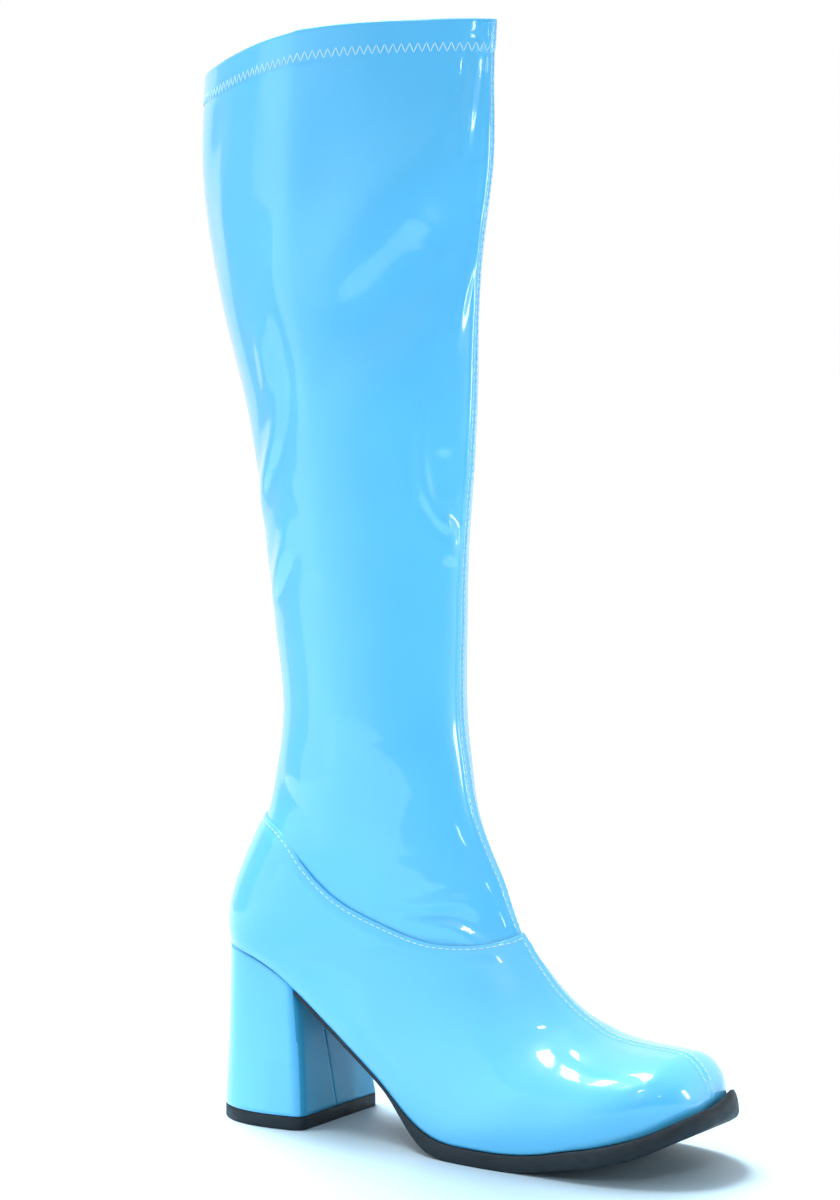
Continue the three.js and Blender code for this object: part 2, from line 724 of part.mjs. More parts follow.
function heelBlockGeometry() {
  const bottom = topPieceThickness + clearance;
  const stations = heelShares.map((share) => {
    const levels = [];
    for (let level = 0; level <= heelLevels; level += 1) {
      const down = level / heelLevels;
      levels.push([-1, 1].map((side) => {
        const high = seatOutline(share, side);
        const low = floorOutline(share, side, bottom);
        const point = high.lerp(low, down);
        const waist = heelWaist * Math.sin(Math.PI * down);
        const half = Math.abs(point.y);
        point.y -= side * Math.min(waist, half);
        return point;
      }));
    }
    return levels;
  });
  return slabGeometry(stations, (point) => bedHeight(point.x) - clearance, null);
}

function heelTopPieceGeometry() {
  const stations = heelShares.map((share) => {
    const levels = [];
    for (let level = 0; level <= topPieceLevels; level += 1) {
      const height = topPieceThickness * (1 - level / topPieceLevels);
      levels.push([-1, 1].map((side) => floorOutline(share, side, height)));
    }
    return levels;
  });
  return slabGeometry(stations, null, null);
}

// Finishes
const patent = { color: 0x6bc4f0, roughness: 0.08, metalness: 0 };
const rubber = { color: 0x263038, roughness: 0.55, metalness: 0 };
const board = { color: 0xd8cfc0, roughness: 0.85, metalness: 0 };

const boot = new THREE.Group();

function addPiece(name, geometry, finish) {
  geometry.computeVertexNormals();
  const mesh = new THREE.Mesh(geometry, new THREE.MeshStandardMaterial(finish));
  mesh.name = name;
  boot.add(mesh);
}

addPiece('outsole', outsoleGeometry(), rubber);
addPiece('upper', upperGeometry(), patent);
addPiece('shaft', shaftGeometry(), patent);
addPiece('insole', insoleGeometry(), board);
addPiece('heel_block', heelBlockGeometry(), patent);
addPiece('heel_top_piece', heelTopPieceGeometry(), rubber);

export default boot;
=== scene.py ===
"""Looks of a knee-high patent go-go boot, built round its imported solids, in metres.

The boot stands as the solids do: +X to the toe, +Y to the inner side, +Z up. Every
surface is read off one function of the last, in millimetres, which is the same one that
the solids were cut from, and the creases, seams and stitches lie on it.
"""
import logging
import math
from dataclasses import dataclass, field
from enum import Enum
from typing import Callable, Sequence

import bmesh
import bpy
import numpy as np
from mathutils import Matrix, Vector


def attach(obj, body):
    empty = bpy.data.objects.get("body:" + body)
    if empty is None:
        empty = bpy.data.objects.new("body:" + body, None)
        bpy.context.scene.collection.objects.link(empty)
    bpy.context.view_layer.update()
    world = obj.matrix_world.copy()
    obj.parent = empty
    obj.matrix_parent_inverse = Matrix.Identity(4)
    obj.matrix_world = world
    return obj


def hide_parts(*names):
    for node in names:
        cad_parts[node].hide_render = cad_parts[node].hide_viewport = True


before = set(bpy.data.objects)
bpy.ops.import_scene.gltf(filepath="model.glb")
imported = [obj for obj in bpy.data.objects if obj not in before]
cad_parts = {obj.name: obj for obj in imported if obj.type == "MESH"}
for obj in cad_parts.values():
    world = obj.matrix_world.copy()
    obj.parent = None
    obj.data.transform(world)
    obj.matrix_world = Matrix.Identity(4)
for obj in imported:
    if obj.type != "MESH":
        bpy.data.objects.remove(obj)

LOG = logging.getLogger("boot")
MM = 0.001
# points nearer than this are one, in metres
WELD = 2e-6
Array = np.ndarray
Socket = bpy.types.NodeSocket


class Side(Enum):
    """The two sides of the boot, as the sign of Y."""

    OUTER = -1
    INNER = 1


# Helpers of form


def ease(start: float, end: float, place: Array) -> Array:
    """Eases from 0 to 1 between two places.

    Args:
        start: where it leaves 0.
        end: where it reaches 1.
        place: the places asked for.

    Returns:
        The eased values.
    """
    t = np.clip((np.asarray(place, float) - start) / (end - start), 0, 1)
    return t * t * (3 - 2 * t)


def round_off(share: Array, power: Array) -> Array:
    """The height of a round end, 1 where its curve starts and 0 at its tip.

    Args:
        share: how far along the round end.
        power: how square the end is.

    Returns:
        The heights.
    """
    t = np.clip(share, 0, 1)
    return (1 - t**power) ** (1 / power)


def bump(distance: Array, width: float) -> Array:
    """A soft bell of height 1, as wide as width at a third of its height."""
    return np.exp(-((np.asarray(distance) / width) ** 2))


def gone_along(points: Array) -> Array:
    """How far along a line of points each of them lies."""
    return np.concatenate([[0], np.cumsum(np.linalg.norm(np.diff(points, axis=0), axis=1))])


def between(start: Array, end: Array, count: int) -> Array:
    """Lines of points evenly spaced from one line to another, as columns of a grid."""
    return np.stack([start + (end - start) * share for share in np.linspace(0, 1, count)],
                    axis=1)


def cosine_shares(count: int) -> Array:
    """Shares from 0 to 1, closer together at both ends."""
    return (1 - np.cos(np.linspace(0, math.pi, count))) / 2


class Spline:
    """A natural cubic through a table's column."""

    def __init__(self, places: Sequence[float], values: Sequence[float]) -> None:
        """Solves the cubic's bends.

        Args:
            places: the rising places of the table's rows.
            values: the values at those places.
        """
        self.x = np.asarray(places, float)
        self.y = np.asarray(values, float)
        gaps = np.diff(self.x)
        slopes = np.diff(self.y) / gaps
        size = len(self.x)
        system = np.eye(size)
        right = np.zeros(size)
        for i in range(1, size - 1):
            system[i, i - 1 : i + 2] = gaps[i - 1], 2 * (gaps[i - 1] + gaps[i]), gaps[i]
            right[i] = 6 * (slopes[i] - slopes[i - 1])
        self.bend = np.linalg.solve(system, right)

    def __call__(self, place: Array) -> Array:
        """The curve's values at places, held at its ends beyond them."""
        at = np.clip(place, self.x[0], self.x[-1])
        i = np.clip(np.searchsorted(self.x, at) - 1, 0, len(self.x) - 2)
        width = self.x[i + 1] - self.x[i]
        a = (self.x[i + 1] - at) / width
        b = 1 - a
        sag = ((a**3 - a) * self.bend[i] + (b**3 - b) * self.bend[i + 1]) * width**2 / 6
        return a * self.y[i] + b * self.y[i + 1] + sag


# The last


@dataclass(frozen=True)
class LastSizes:
    """Sizes of the last and the leg, in millimetres, as the solids have them."""

    foot_length: float = 239
    heel_rise: float = 79
    ball_width: float = 84
    instep_height: float = 94
    toe_lift: float = 29
    toe_depth: float = 21.5
    toe_roll: float = 15
    toe_curve: float = 60
    toe_power: float = 2.5
    quarter_height: float = 58.5
    boot_height: float = 482
    ankle_height: float = 180
    calf_width: float = 86
    collar_drop: float = 21
    ball_height: float = 7
    heel_back: float = -24.5


# The feather line: along the foot, share of the heel's rise, share of the toe's lift
FEATHER = (
    (-0.06, 1.01, 0), (0, 1, 0), (0.05, 0.974, 0), (0.1, 0.923, 0), (0.15, 0.843, 0),
    (0.2, 0.732, 0), (0.25, 0.607, 0), (0.3, 0.484, 0), (0.35, 0.37, 0),
    (0.4, 0.254, 0), (0.45, 0.127, 0), (0.5, 0.04, 0), (0.55, 0.004, 0), (0.6, 0, 0),
    (0.65, 0, 0), (0.7, 0, 0.03), (0.75, 0, 0.11), (0.8, 0, 0.235), (0.85, 0, 0.35),
    (0.9, 0, 0.5), (0.95, 0, 0.7), (1, 0, 1), (1.05, 0, 1.31),
)

# Sections of the leg: up, front, back, half, edge
LEG = (
    (1.1, 0.547, -0.068, 0.46, 1.34), (1.0, 0.547, -0.072, 0.48, 1.34),
    (0.9, 0.545, -0.083, 0.5, 1.34), (0.79, 0.54, -0.086, 0.505, 1.33),
    (0.69, 0.526, -0.068, 0.5, 1.32), (0.58, 0.511, -0.034, 0.49, 1.3),
    (0.47, 0.505, 0.01, 0.475, 1.27), (0.36, 0.496, 0.042, 0.452, 1.23),
    (0.25, 0.485, 0.063, 0.425, 1.19), (0.12, 0.48, 0.086, 0.4, 1.15),
    (0, 0.481, 0.102, 0.39, 1.12),
)

# Sections down the heel back: ridge x, fall, base x, base z, half, widest, edge, heel
HEEL = (
    (0.492, 2.57, 0.089, 1.987, 0.39, 0.52, 1.1, 1.04),
    (0.505, 2.2, 0.064, 1.743, 0.388, 0.56, 1.1, 1),
    (0.531, 1.83, 0.031, 1.525, 0.386, 0.62, 1.1, 0.95),
    (0.567, 1.46, 0, 1.298, 0.38, 0.69, 1.1, 0.91),
    (0.602, 1.09, -0.01, 1.09, 0.373, 0.75, 1.08, 0.88),
)

# Sections of the foot: along, ridge x, fall, outer, inner, tuck, widest, edge, heel
FOOT = (
    (0, 0.619, 0.91, 0.366, 0.366, 0.87, 0.79, 1.03, 0.87),
    (0.08, 0.645, 0.7, 0.364, 0.364, 0.88, 0.8, 0.98, 0.87),
    (0.18, 0.672, 0.53, 0.364, 0.36, 0.89, 0.8, 0.95, 0.88),
    (0.3, 0.7, 0.384, 0.381, 0.352, 0.87, 0.79, 0.93, 0.92),
    (0.42, 0.733, 0.245, 0.428, 0.385, 0.9, 0.77, 0.92, 0.96),
    (0.54, 0.765, 0.15, 0.486, 0.45, 0.95, 0.75, 0.92, 1),
    (0.65, 0.792, 0.078, 0.508, 0.498, 0.965, 0.73, 0.92, 1),
    (0.75, 0.836, 0.03, 0.504, 0.512, 0.965, 0.71, 0.92, 1),
    (0.84, 0.886, 0.011, 0.5, 0.503, 0.965, 0.69, 0.92, 1),
    (0.92, 0.941, -0.005, 0.495, 0.485, 0.965, 0.67, 0.92, 1),
    (1, 1, -0.034, 0.485, 0.465, 0.965, 0.65, 0.92, 1),
)

# The seam between shaft and foot part: turn, climb
SEAM = (
    (0, 0), (0.1, -0.04), (0.2, -0.07), (0.26, -0.035), (0.32, 0.085), (0.39, 0.265),
    (0.48, 0.56), (0.56, 0.74), (0.66, 0.88), (0.82, 0.97), (1, 1),
)

# The collar: turn, drop
COLLAR = (
    (0, 0), (0.2, 0.02), (0.4, 0.13), (0.5, 0.23), (0.6, 0.37), (0.7, 0.6),
    (0.8, 0.83), (0.9, 0.96), (1, 1),
)


class Last:
    """The surface on which the boot is built, as a function of a walk and a turn.

    The walk is in millimetres: negative up the heel back and the leg, zero at the back
    of the seat, then along the foot. The turn is 0 on the ridge and 1 at the base or the
    feather line, and it is negative on the outer side.
    """

    def __init__(self, sizes: LastSizes) -> None:
        """Works the tables out in millimetres.

        Args:
            sizes: the last's driving sizes.
        """
        self.sizes = s = sizes
        self.toe_x = s.heel_back + s.foot_length
        rise = s.heel_rise - s.ball_height
        lift = s.toe_lift - s.ball_height
        self.feather = Spline(
            [s.heel_back + row[0] * s.foot_length for row in FEATHER],
            [s.ball_height + row[1] * rise + row[2] * lift for row in FEATHER],
        )
        toe_top = s.toe_lift + s.toe_depth
        fall = s.instep_height - toe_top
        tuck = FOOT[0][5]
        rows = []
        for up, front, back, half, edge in LEG:
            z = s.ankle_height + up * (s.boot_height - s.ankle_height)
            rows.append([self._x(front), z, self._x(back), z, half * s.calf_width,
                         half * s.calf_width, tuck, 0.5, edge, edge])
        for ridge, down, base, base_z, half, widest, edge, heel in HEEL:
            rows.append([self._x(ridge), toe_top + down * fall, self._x(base),
                         base_z * s.heel_rise, half * s.ball_width,
                         half * s.ball_width, tuck, widest, edge, heel])
        walk = 0.0
        below = (s.heel_back, float(self.feather(s.heel_back)))
        seat = below
        walks = []
        for row in reversed(rows):
            walk -= math.hypot(row[2] - below[0], row[3] - below[1])
            walks.insert(0, walk)
            below = (row[2], row[3])
        self.back_x = Spline([*walks, 0], [row[2] for row in rows] + [seat[0]])
        self.back_z = Spline([*walks, 0], [row[3] for row in rows] + [seat[1]])
        self.throat_from = walks[len(rows) - 3]
        for along, ridge, down, outer, inner, tucked, widest, edge, heel in FOOT:
            walks.append(along * s.foot_length)
            rows.append([self._x(ridge), toe_top + down * fall, 0, 0,
                         outer * s.ball_width, inner * s.ball_width, tucked, widest,
                         edge, heel])
        columns = list(zip(*rows))
        names = ("ridge_x", "ridge_z", None, None, "outer", "inner", "tuck", "widest",
                 "edge", "heel")
        self.along = {
            name: Spline(walks, column) for name, column in zip(names, columns) if name
        }
        self.top_walk = walks[0]
        self.throat = self._solve(self.along["ridge_z"], s.instep_height,
                                  self.throat_from, s.foot_length / 2)
        self.quarter = self._solve(self.back_z, s.heel_rise + s.quarter_height,
                                   self.top_walk, 0)
        self.climb = Spline(*zip(*SEAM))
        self.collar_fall = Spline(*zip(*COLLAR))

    def _x(self, share: float) -> float:
        """A share of the foot's length as a place along X."""
        return self.sizes.heel_back + share * self.sizes.foot_length

    @staticmethod
    def _solve(measure: Callable, value: float, low: float, high: float) -> float:
        """Where a falling measure reaches a value, between two walks.

        Args:
            measure: the function of the walk.
            value: what it should reach.
            low: the walk to start from.
            high: the walk to end at.

        Returns:
            The walk.
        """
        for _ in range(50):
            middle = (low + high) / 2
            if float(measure(middle)) > value:
                low = middle
            else:
                high = middle
        return (low + high) / 2

    def seam(self, turn: Array) -> Array:
        """The walk of the seam between shaft and foot part at a turn."""
        return self.throat + (self.quarter - self.throat) * self.climb(np.abs(turn))

    def collar(self, turn: Array) -> Array:
        """The walk of the collar's edge at a turn."""
        s = self.sizes
        wanted = s.boot_height - s.collar_drop * self.collar_fall(np.abs(turn))
        walks = np.linspace(self.top_walk, self.top_walk + 90, 400)
        heights = self.back_z(walks)
        return np.interp(-wanted, -heights, walks)

    def point(self, walk: Array, turn: Array) -> Array:
        """Points of the last's surface.

        Args:
            walk: walks in millimetres.
            turn: turns, negative on the outer side.

        Returns:
            The points in millimetres, with x, y and z last.
        """
        walk, turn = np.broadcast_arrays(np.asarray(walk, float), np.asarray(turn, float))
        s = self.sizes
        side = np.where(turn < 0, -1.0, 1.0)
        t = np.abs(turn)
        opened = walk > 0
        ridge_x = self.along["ridge_x"](walk)
        ridge_z = self.along["ridge_z"](walk)
        floor = self.feather(ridge_x)
        roll = (ridge_x - (self.toe_x - s.toe_roll)) / s.toe_roll
        ridge_z = np.where(roll > 0, floor + (ridge_z - floor) * round_off(roll, 2), ridge_z)
        foot_x = s.heel_back + walk
        base_x = np.where(opened, foot_x, self.back_x(walk))
        base_z = np.where(opened, self.feather(foot_x), self.back_z(walk))
        closing = round_off((walk - (s.foot_length - s.toe_curve)) / s.toe_curve, s.toe_power)
        ridge_power = 2 / self.along["edge"](walk)
        base_power = 2 / self.along["heel"](walk)
        widest = self.along["widest"](walk)
        full = self.along["tuck"](walk)
        reach = np.hypot(ridge_x - base_x, ridge_z - base_z)
        seat_curve = full**base_power * (1 - widest) * reach
        seat_curve = np.maximum(seat_curve, 1e-6)
        opening = np.where(opened, round_off(1 - walk / seat_curve, base_power), 0)
        tuck = full * opening
        half = np.where(side < 0, self.along["outer"](walk), self.along["inner"](walk))
        half = half * closing
        front = np.clip(t * math.pi, 0, math.pi / 2)
        front_share = widest * (1 - np.cos(front) ** (2 / ridge_power))
        front_across = half * np.sin(front) ** (2 / ridge_power)
        end = np.arccos(tuck ** (base_power / 2))
        angle = end * np.clip(2 * t - 1, 0, 1)
        back = (np.sin(angle) / np.maximum(np.sin(end), 1e-9)) ** (2 / base_power)
        back_share = widest + (1 - widest) * back
        back_across = half * np.maximum(np.cos(angle), 0) ** (2 / base_power)
        back_across = np.where(t >= 1, half * tuck, back_across)
        in_front = t <= 0.5
        share = np.where(in_front, front_share, back_share)
        across = np.where(in_front, front_across, back_across)
        x = ridge_x + (base_x - ridge_x) * share
        z = ridge_z + (base_z - ridge_z) * share
        return np.stack([x, side * across, z], axis=-1)

    def normal(self, walk: Array, turn: Array) -> Array:
        """Outward directions of the surface.

        Args:
            walk: walks in millimetres.
            turn: turns, negative on the outer side.

        Returns:
            Unit directions, with x, y and z last.
        """
        walk, turn = np.broadcast_arrays(np.asarray(walk, float), np.asarray(turn, float))
        stride, swing = 0.5, 0.012
        place = np.minimum(walk, self.sizes.foot_length - stride)
        place = np.where((place > 0) & (place < stride), stride, place)
        low, high = np.maximum(turn - swing, -1), np.minimum(turn + swing, 1)
        seam = (np.abs(turn) > 1 - swing) & (walk <= 0)
        forward = self.point(place + stride, turn) - self.point(place - stride, turn)
        sideways = self.point(place, high) - self.point(place, low)
        sideways[seam] = [0, -1, 0]
        forward[seam] *= [1, 0, 1]
        normal = np.cross(sideways, forward)
        normal /= np.maximum(np.linalg.norm(normal, axis=-1, keepdims=True), 1e-9)
        ridge, base = self.point(place, 0), self.point(place, np.sign(turn + 1e-9))
        middle = (ridge + base) / 2
        middle[..., 1] = 0
        outward = self.point(place, turn) - middle
        wrong = np.sum(normal * outward, axis=-1) < 0
        normal[wrong] *= -1
        return normal

    def feather_point(self, walk: Array, side: Side, out: float, lift: float) -> Array:
        """Points beside the feather line.

        Args:
            walk: walks along the foot.
            side: which side of the foot.
            out: how far outside the line, in millimetres.
            lift: how far over the line.

        Returns:
            The points in millimetres.
        """
        walk = np.asarray(walk, float)
        length = self.sizes.foot_length
        stride = np.minimum(0.4, np.minimum(walk, length - walk) / 2)
        safe = np.maximum(stride, 1e-4)
        ahead = self.point(walk + safe, side.value)
        behind = self.point(np.maximum(walk - safe, 0), side.value)
        tangent = ahead - behind
        normal = np.stack(
            [-side.value * tangent[..., 1], side.value * tangent[..., 0],
             np.zeros_like(walk)], axis=-1)
        normal[walk <= 0] = [-1, 0, 0]
        normal[walk >= length] = [1, 0, 0]
        normal /= np.linalg.norm(normal, axis=-1, keepdims=True)
        points = self.point(walk, side.value) + normal * np.asarray(out)[..., None]
        points[..., 2] = self.feather(points[..., 0]) + lift
        return points

    def beside(self, walks: Array, away: Array, reach: float) -> Array:
        """Signed turns that lie some way beside the middle seam.

        Args:
            walks: walks along the seam.
            away: the distance in millimetres, or one for each, negative on the outer side.
            reach: the largest turn that is tried.

        Returns:
            A turn for each walk.
        """
        fine = np.linspace(0, reach, round(reach / 0.00125) + 1)
        turns = []
        for walk, distance in zip(walks, np.broadcast_to(away, walks.shape)):
            points = self.point(np.full_like(fine, walk), fine * np.sign(distance))
            lengths = np.linalg.norm(points - points[0], axis=1)
            turns.append(np.interp(abs(distance), lengths, fine) * np.sign(distance))
        return np.asarray(turns)


# Creases and seams


@dataclass(frozen=True)
class Crease:
    """A soft ridge or trough along a line on the last.

    Attributes:
        line: places of its middle, as walk in millimetres and signed turn.
        height: how far it stands out at its middle, negative for a trough.
        width: its half width in millimetres.
        shoulder: share of its height that goes the other way on either side.
    """

    line: tuple[tuple[float, float], ...]
    height: float
    width: float
    shoulder: float = 0.3

    def path(self, last: Last) -> Array:
        """The crease's middle as a smooth line of points in millimetres."""
        walks, turns = zip(*self.line)
        places = range(len(walks))
        fine = np.linspace(0, len(walks) - 1, 6 * len(walks))
        return last.point(Spline(places, walks)(fine), Spline(places, turns)(fine))

    def offset(self, points: Array, last: Last) -> Array:
        """How far the crease moves the surface out.

        Args:
            points: the surface's points in millimetres.
            last: the last that the line is on.

        Returns:
            The distances along the surface's normals.
        """
        line = self.path(last)
        reach = 4.5 * self.width
        low, high = line.min(axis=0) - reach, line.max(axis=0) + reach
        flat = points.reshape(-1, 3)
        near = np.all((flat > low) & (flat < high), axis=1)
        spots = flat[near]
        best = np.full(len(spots), 1e9)
        place = np.zeros(len(spots))
        spans = np.linalg.norm(np.diff(line, axis=0), axis=1)
        gone = np.concatenate([[0], np.cumsum(spans)])
        for start, end, span, before in zip(line[:-1], line[1:], spans, gone):
            run = (end - start) / max(span, 1e-9)
            t = np.clip((spots - start) @ run, 0, span)
            away = np.linalg.norm(spots - start - t[:, None] * run, axis=1)
            nearer = away < best
            best = np.where(nearer, away, best)
            place = np.where(nearer, (before + t) / gone[-1], place)
        ends = np.sin(math.pi * np.clip(0.08 + 0.84 * place, 0, 1)) ** 0.8
        form = bump(best, self.width) - self.shoulder * bump(best - 2.1 * self.width, self.width)
        offset = np.zeros(len(flat))
        offset[near] = self.height * ends * form
        return offset.reshape(points.shape[:-1])


def mirrored(creases: Sequence[Crease]) -> tuple[Crease, ...]:
    """Creases of the same kind on the inner side, a little lower and softer."""
    return tuple(
        Crease(tuple((walk + 9, -turn) for walk, turn in crease.line),
               crease.height * 0.7, crease.width * 1.3, crease.shoulder)
        for crease in creases)


# Folds at the front of the leg's outer side, from the collar down
FRONT_FOLDS = (
    Crease(((-401, -0.086), (-392, -0.094), (-381, -0.103), (-368, -0.112), (-356, -0.12)), 1.25, 2.1),
    Crease(((-332, -0.066), (-320, -0.05), (-308, -0.058), (-297, -0.082), (-284, -0.097),
            (-272, -0.106)), 1.0, 2.6, 0.12),
    Crease(((-315, -0.148), (-310, -0.153), (-305, -0.158)), 0.8, 4.5),
    Crease(((-250, -0.184), (-238, -0.194), (-222, -0.196), (-209, -0.178), (-201, -0.152),
            (-194, -0.11)), 1.0, 2.6, 0.2),
    Crease(((-228, -0.13), (-216, -0.128), (-206, -0.11)), -1.3, 8),
    Crease(((-199, -0.124), (-195, -0.104), (-192, -0.086)), 0.8, 2.4),
    Crease(((-192, -0.1), (-184, -0.085), (-176, -0.08)), 0.8, 6),
)

# Broad hollows and swells of the leg's outer side
SWELLS = (
    Crease(((-366, -0.165), (-350, -0.225), (-330, -0.303), (-313, -0.366),
            (-296, -0.45)), 2.8, 15, 0.5),
    Crease(((-322, -0.17), (-300, -0.24), (-284, -0.32), (-274, -0.4)), -1.4, 13),
    Crease(((-268, -0.2), (-258, -0.28), (-245, -0.35), (-230, -0.46)), 1.2, 13),
    Crease(((-388, -0.49), (-353, -0.5), (-330, -0.53), (-300, -0.58), (-282, -0.61)), 1.1, 9),
    Crease(((-160, -0.3), (-130, -0.33), (-100, -0.34)), 0.7, 16),
)

# Folds at the back of the leg's outer side
BACK_FOLDS = (
    Crease(((-378, -0.74), (-362, -0.77), (-350, -0.8)), -0.45, 8),
    Crease(((-345, -0.72), (-330, -0.74), (-312, -0.73)), 0.7, 8),
    Crease(((-294, -0.6), (-272, -0.585), (-250, -0.6), (-230, -0.65)), -1.1, 6.5),
    Crease(((-276, -0.67), (-262, -0.665), (-250, -0.67)), 0.7, 4),
    Crease(((-254, -0.61), (-246, -0.63), (-232, -0.666), (-212, -0.76), (-198, -0.84)), 1.4, 5),
    Crease(((-224, -0.72), (-218, -0.6), (-216, -0.48)), -0.5, 7),
    Crease(((-200, -0.7), (-194, -0.6), (-190, -0.49)), -0.4, 7),
    Crease(((-192, -0.65), (-185, -0.666), (-176, -0.707), (-160, -0.79)), 1.2, 5),
    Crease(((-170, -0.6), (-164, -0.55), (-160, -0.48)), -0.3, 8),
)

# Folds over the ankle and the instep
INSTEP_FOLDS = (
    Crease(((-84, -0.84), (-70, -0.64), (-60, -0.5)), -0.9, 8),
    Crease(((-54, -0.68), (-47, -0.55), (-43, -0.45)), 0.8, 7),
    Crease(((-36, -0.28), (-32, -0.22)), 0.22, 2.2),
    Crease(((-29, -0.24), (-26, -0.19)), 0.2, 2.2),
    Crease(((-17, -0.29), (-15.7, -0.262), (-15.7, -0.239), (-17, -0.21), (-17, -0.165),
            (-13, -0.138)), 0.9, 2.6),
    Crease(((-13, -0.26), (-12, -0.21), (-9, -0.17)), -0.7, 3.4),
    Crease(((-10.4, -0.29), (-9.4, -0.262), (-7.4, -0.212), (-5.2, -0.189), (-2, -0.165),
            (2, -0.15)), 1.0, 2.4),
)

LEG_CREASES = (*FRONT_FOLDS, *SWELLS, *BACK_FOLDS, *INSTEP_FOLDS,
               *mirrored(SWELLS), *mirrored(BACK_FOLDS), *mirrored(INSTEP_FOLDS))

# Slight dents of the vamp and the quarter
FOOT_CREASES = (
    Crease(((4, -0.15), (9, -0.135), (13, -0.125)), 0.35, 2.6),
    Crease(((208, -0.352), (213, -0.334), (217.5, -0.312), (221, -0.284), (223.6, -0.25),
            (225.2, -0.215)), 0.4, 2.2, 0.15),
    Crease(((60, -0.3), (78, -0.33), (96, -0.34)), -0.35, 14),
    Crease(((62, 0.3), (80, 0.33), (98, 0.34)), -0.35, 14),
)


@dataclass
class Skin:
    """A surface of the boot: the last with seams and creases on it.

    Attributes:
        last: the last.
        creases: the creases of this part.
        seam_ridge: how far the middle seam's strip stands out, in millimetres.
        seam_half: half the width of that strip.
        groove: how deep the groove in that strip's middle is.
        groove_half: half the width of that groove.
        edge_sink: how far the shaft lies inside the foot part at their seam.
        sink_reach: over what height it comes out flush above the seam.
        skive: how much thinner the foot part is at its top edge.
        skive_reach: how far down from that edge it is thinner.
        back_seam: how deep the groove of the leg's back seam is.
    """

    last: Last
    creases: Sequence[Crease] = ()
    seam_ridge: float = 0.28
    seam_half: float = 3.2
    groove: float = 0.45
    groove_half: float = 0.75
    edge_sink: float = 0.0
    sink_reach: float = 26.0
    skive: float = 0.0
    skive_reach: float = 7.0
    back_seam: float = 0.0

    def relief(self, walk: Array, turn: Array, points: Array) -> Array:
        """How far the skin stands over the last.

        Args:
            walk: walks in millimetres.
            turn: signed turns.
            points: the last's points there.

        Returns:
            Distances along the normals.
        """
        ridge = self.last.point(walk, 0)
        away = np.linalg.norm(points - ridge, axis=-1)
        offset = self.seam_ridge * (1 - ease(self.seam_half - 0.6, self.seam_half + 0.8, away))
        offset = offset - self.groove * bump(away, self.groove_half)
        from_back = np.linalg.norm(points - self.last.point(walk, 1), axis=-1)
        offset = offset - self.back_seam * bump(from_back, 0.8) * (walk < 0)
        past_seam = walk - self.last.seam(turn)
        offset = offset - self.edge_sink * ease(-self.sink_reach, 0, past_seam)
        offset = offset - self.skive * (1 - ease(0, self.skive_reach, past_seam))
        for crease in self.creases:
            offset = offset + crease.offset(points, self.last)
        return offset

    def place(self, walk: Array, turn: Array, depth: Array = 0.0) -> Array:
        """Points on the skin or under it.

        Args:
            walk: walks in millimetres.
            turn: signed turns.
            depth: how far under the skin, in millimetres.

        Returns:
            Points in millimetres.
        """
        walk, turn = np.broadcast_arrays(np.asarray(walk, float), np.asarray(turn, float))
        points = self.last.point(walk, turn)
        normals = self.last.normal(walk, turn)
        offset = self.relief(walk, turn, points) - depth
        return points + normals * np.asarray(offset)[..., None]


def turn_stops(last: Last, walk: float, gap: float, seam_gap: float) -> Array:
    """Signed turns round a section, evenly spaced on the surface and closer at the ridge.

    Args:
        last: the last.
        walk: the section that the spacing is measured on.
        gap: spacing in millimetres.
        seam_gap: spacing beside the middle seam.

    Returns:
        Rising turns from -1 to 1.
    """
    fine = np.linspace(0, 1, 4001)
    points = last.point(np.full_like(fine, walk), fine)
    lengths = gone_along(points)
    stops = [0.0]
    while stops[-1] < lengths[-1]:
        stops.append(stops[-1] + seam_gap + (gap - seam_gap) * float(ease(4, 9, stops[-1])))
    stops = np.asarray(stops) * lengths[-1] / stops[-1]
    turns = np.interp(stops, lengths, fine)
    turns[-1] = 1.0
    return np.concatenate([-turns[:0:-1], turns])


# Mesh building


def linked(name: str, data: bpy.types.ID) -> bpy.types.Object:
    """Makes an object of its data and links it to the scene."""
    made = bpy.data.objects.new(name, data)
    bpy.context.scene.collection.objects.link(made)
    return made


def add_grid(bm: bmesh.types.BMesh, points: Array) -> None:
    """Adds a grid to a bmesh and lays it on given points.

    Args:
        bm: the bmesh.
        points: their places in millimetres, rows by columns by three.
    """
    rows, columns = points.shape[:2]
    made = bmesh.ops.create_grid(bm, x_segments=columns - 1, y_segments=rows - 1, size=1.0)
    places = points * MM
    for vert in made["verts"]:
        column = int(round((vert.co.x + 1) / 2 * (columns - 1)))
        row = int(round((vert.co.y + 1) / 2 * (rows - 1)))
        vert.co = places[row, column]


def finish_mesh(bm: bmesh.types.BMesh, name: str, weld: bool = True) -> bpy.types.Object:
    """Welds a bmesh, turns its faces outwards and links it as an object at the origin.

    Args:
        bm: the bmesh, which is freed.
        name: the object's name.
        weld: whether points that lie together become one.

    Returns:
        The object.
    """
    if weld:
        bmesh.ops.remove_doubles(bm, verts=bm.verts, dist=WELD)
    if any(face.calc_area() < 1e-12 for face in bm.faces):
        bmesh.ops.dissolve_degenerate(bm, dist=1e-6, edges=bm.edges)
    bmesh.ops.recalc_face_normals(bm, faces=bm.faces)
    for face in bm.faces:
        face.smooth = True
    mesh = bpy.data.meshes.new(name)
    bm.to_mesh(mesh)
    bm.free()
    return linked(name, mesh)


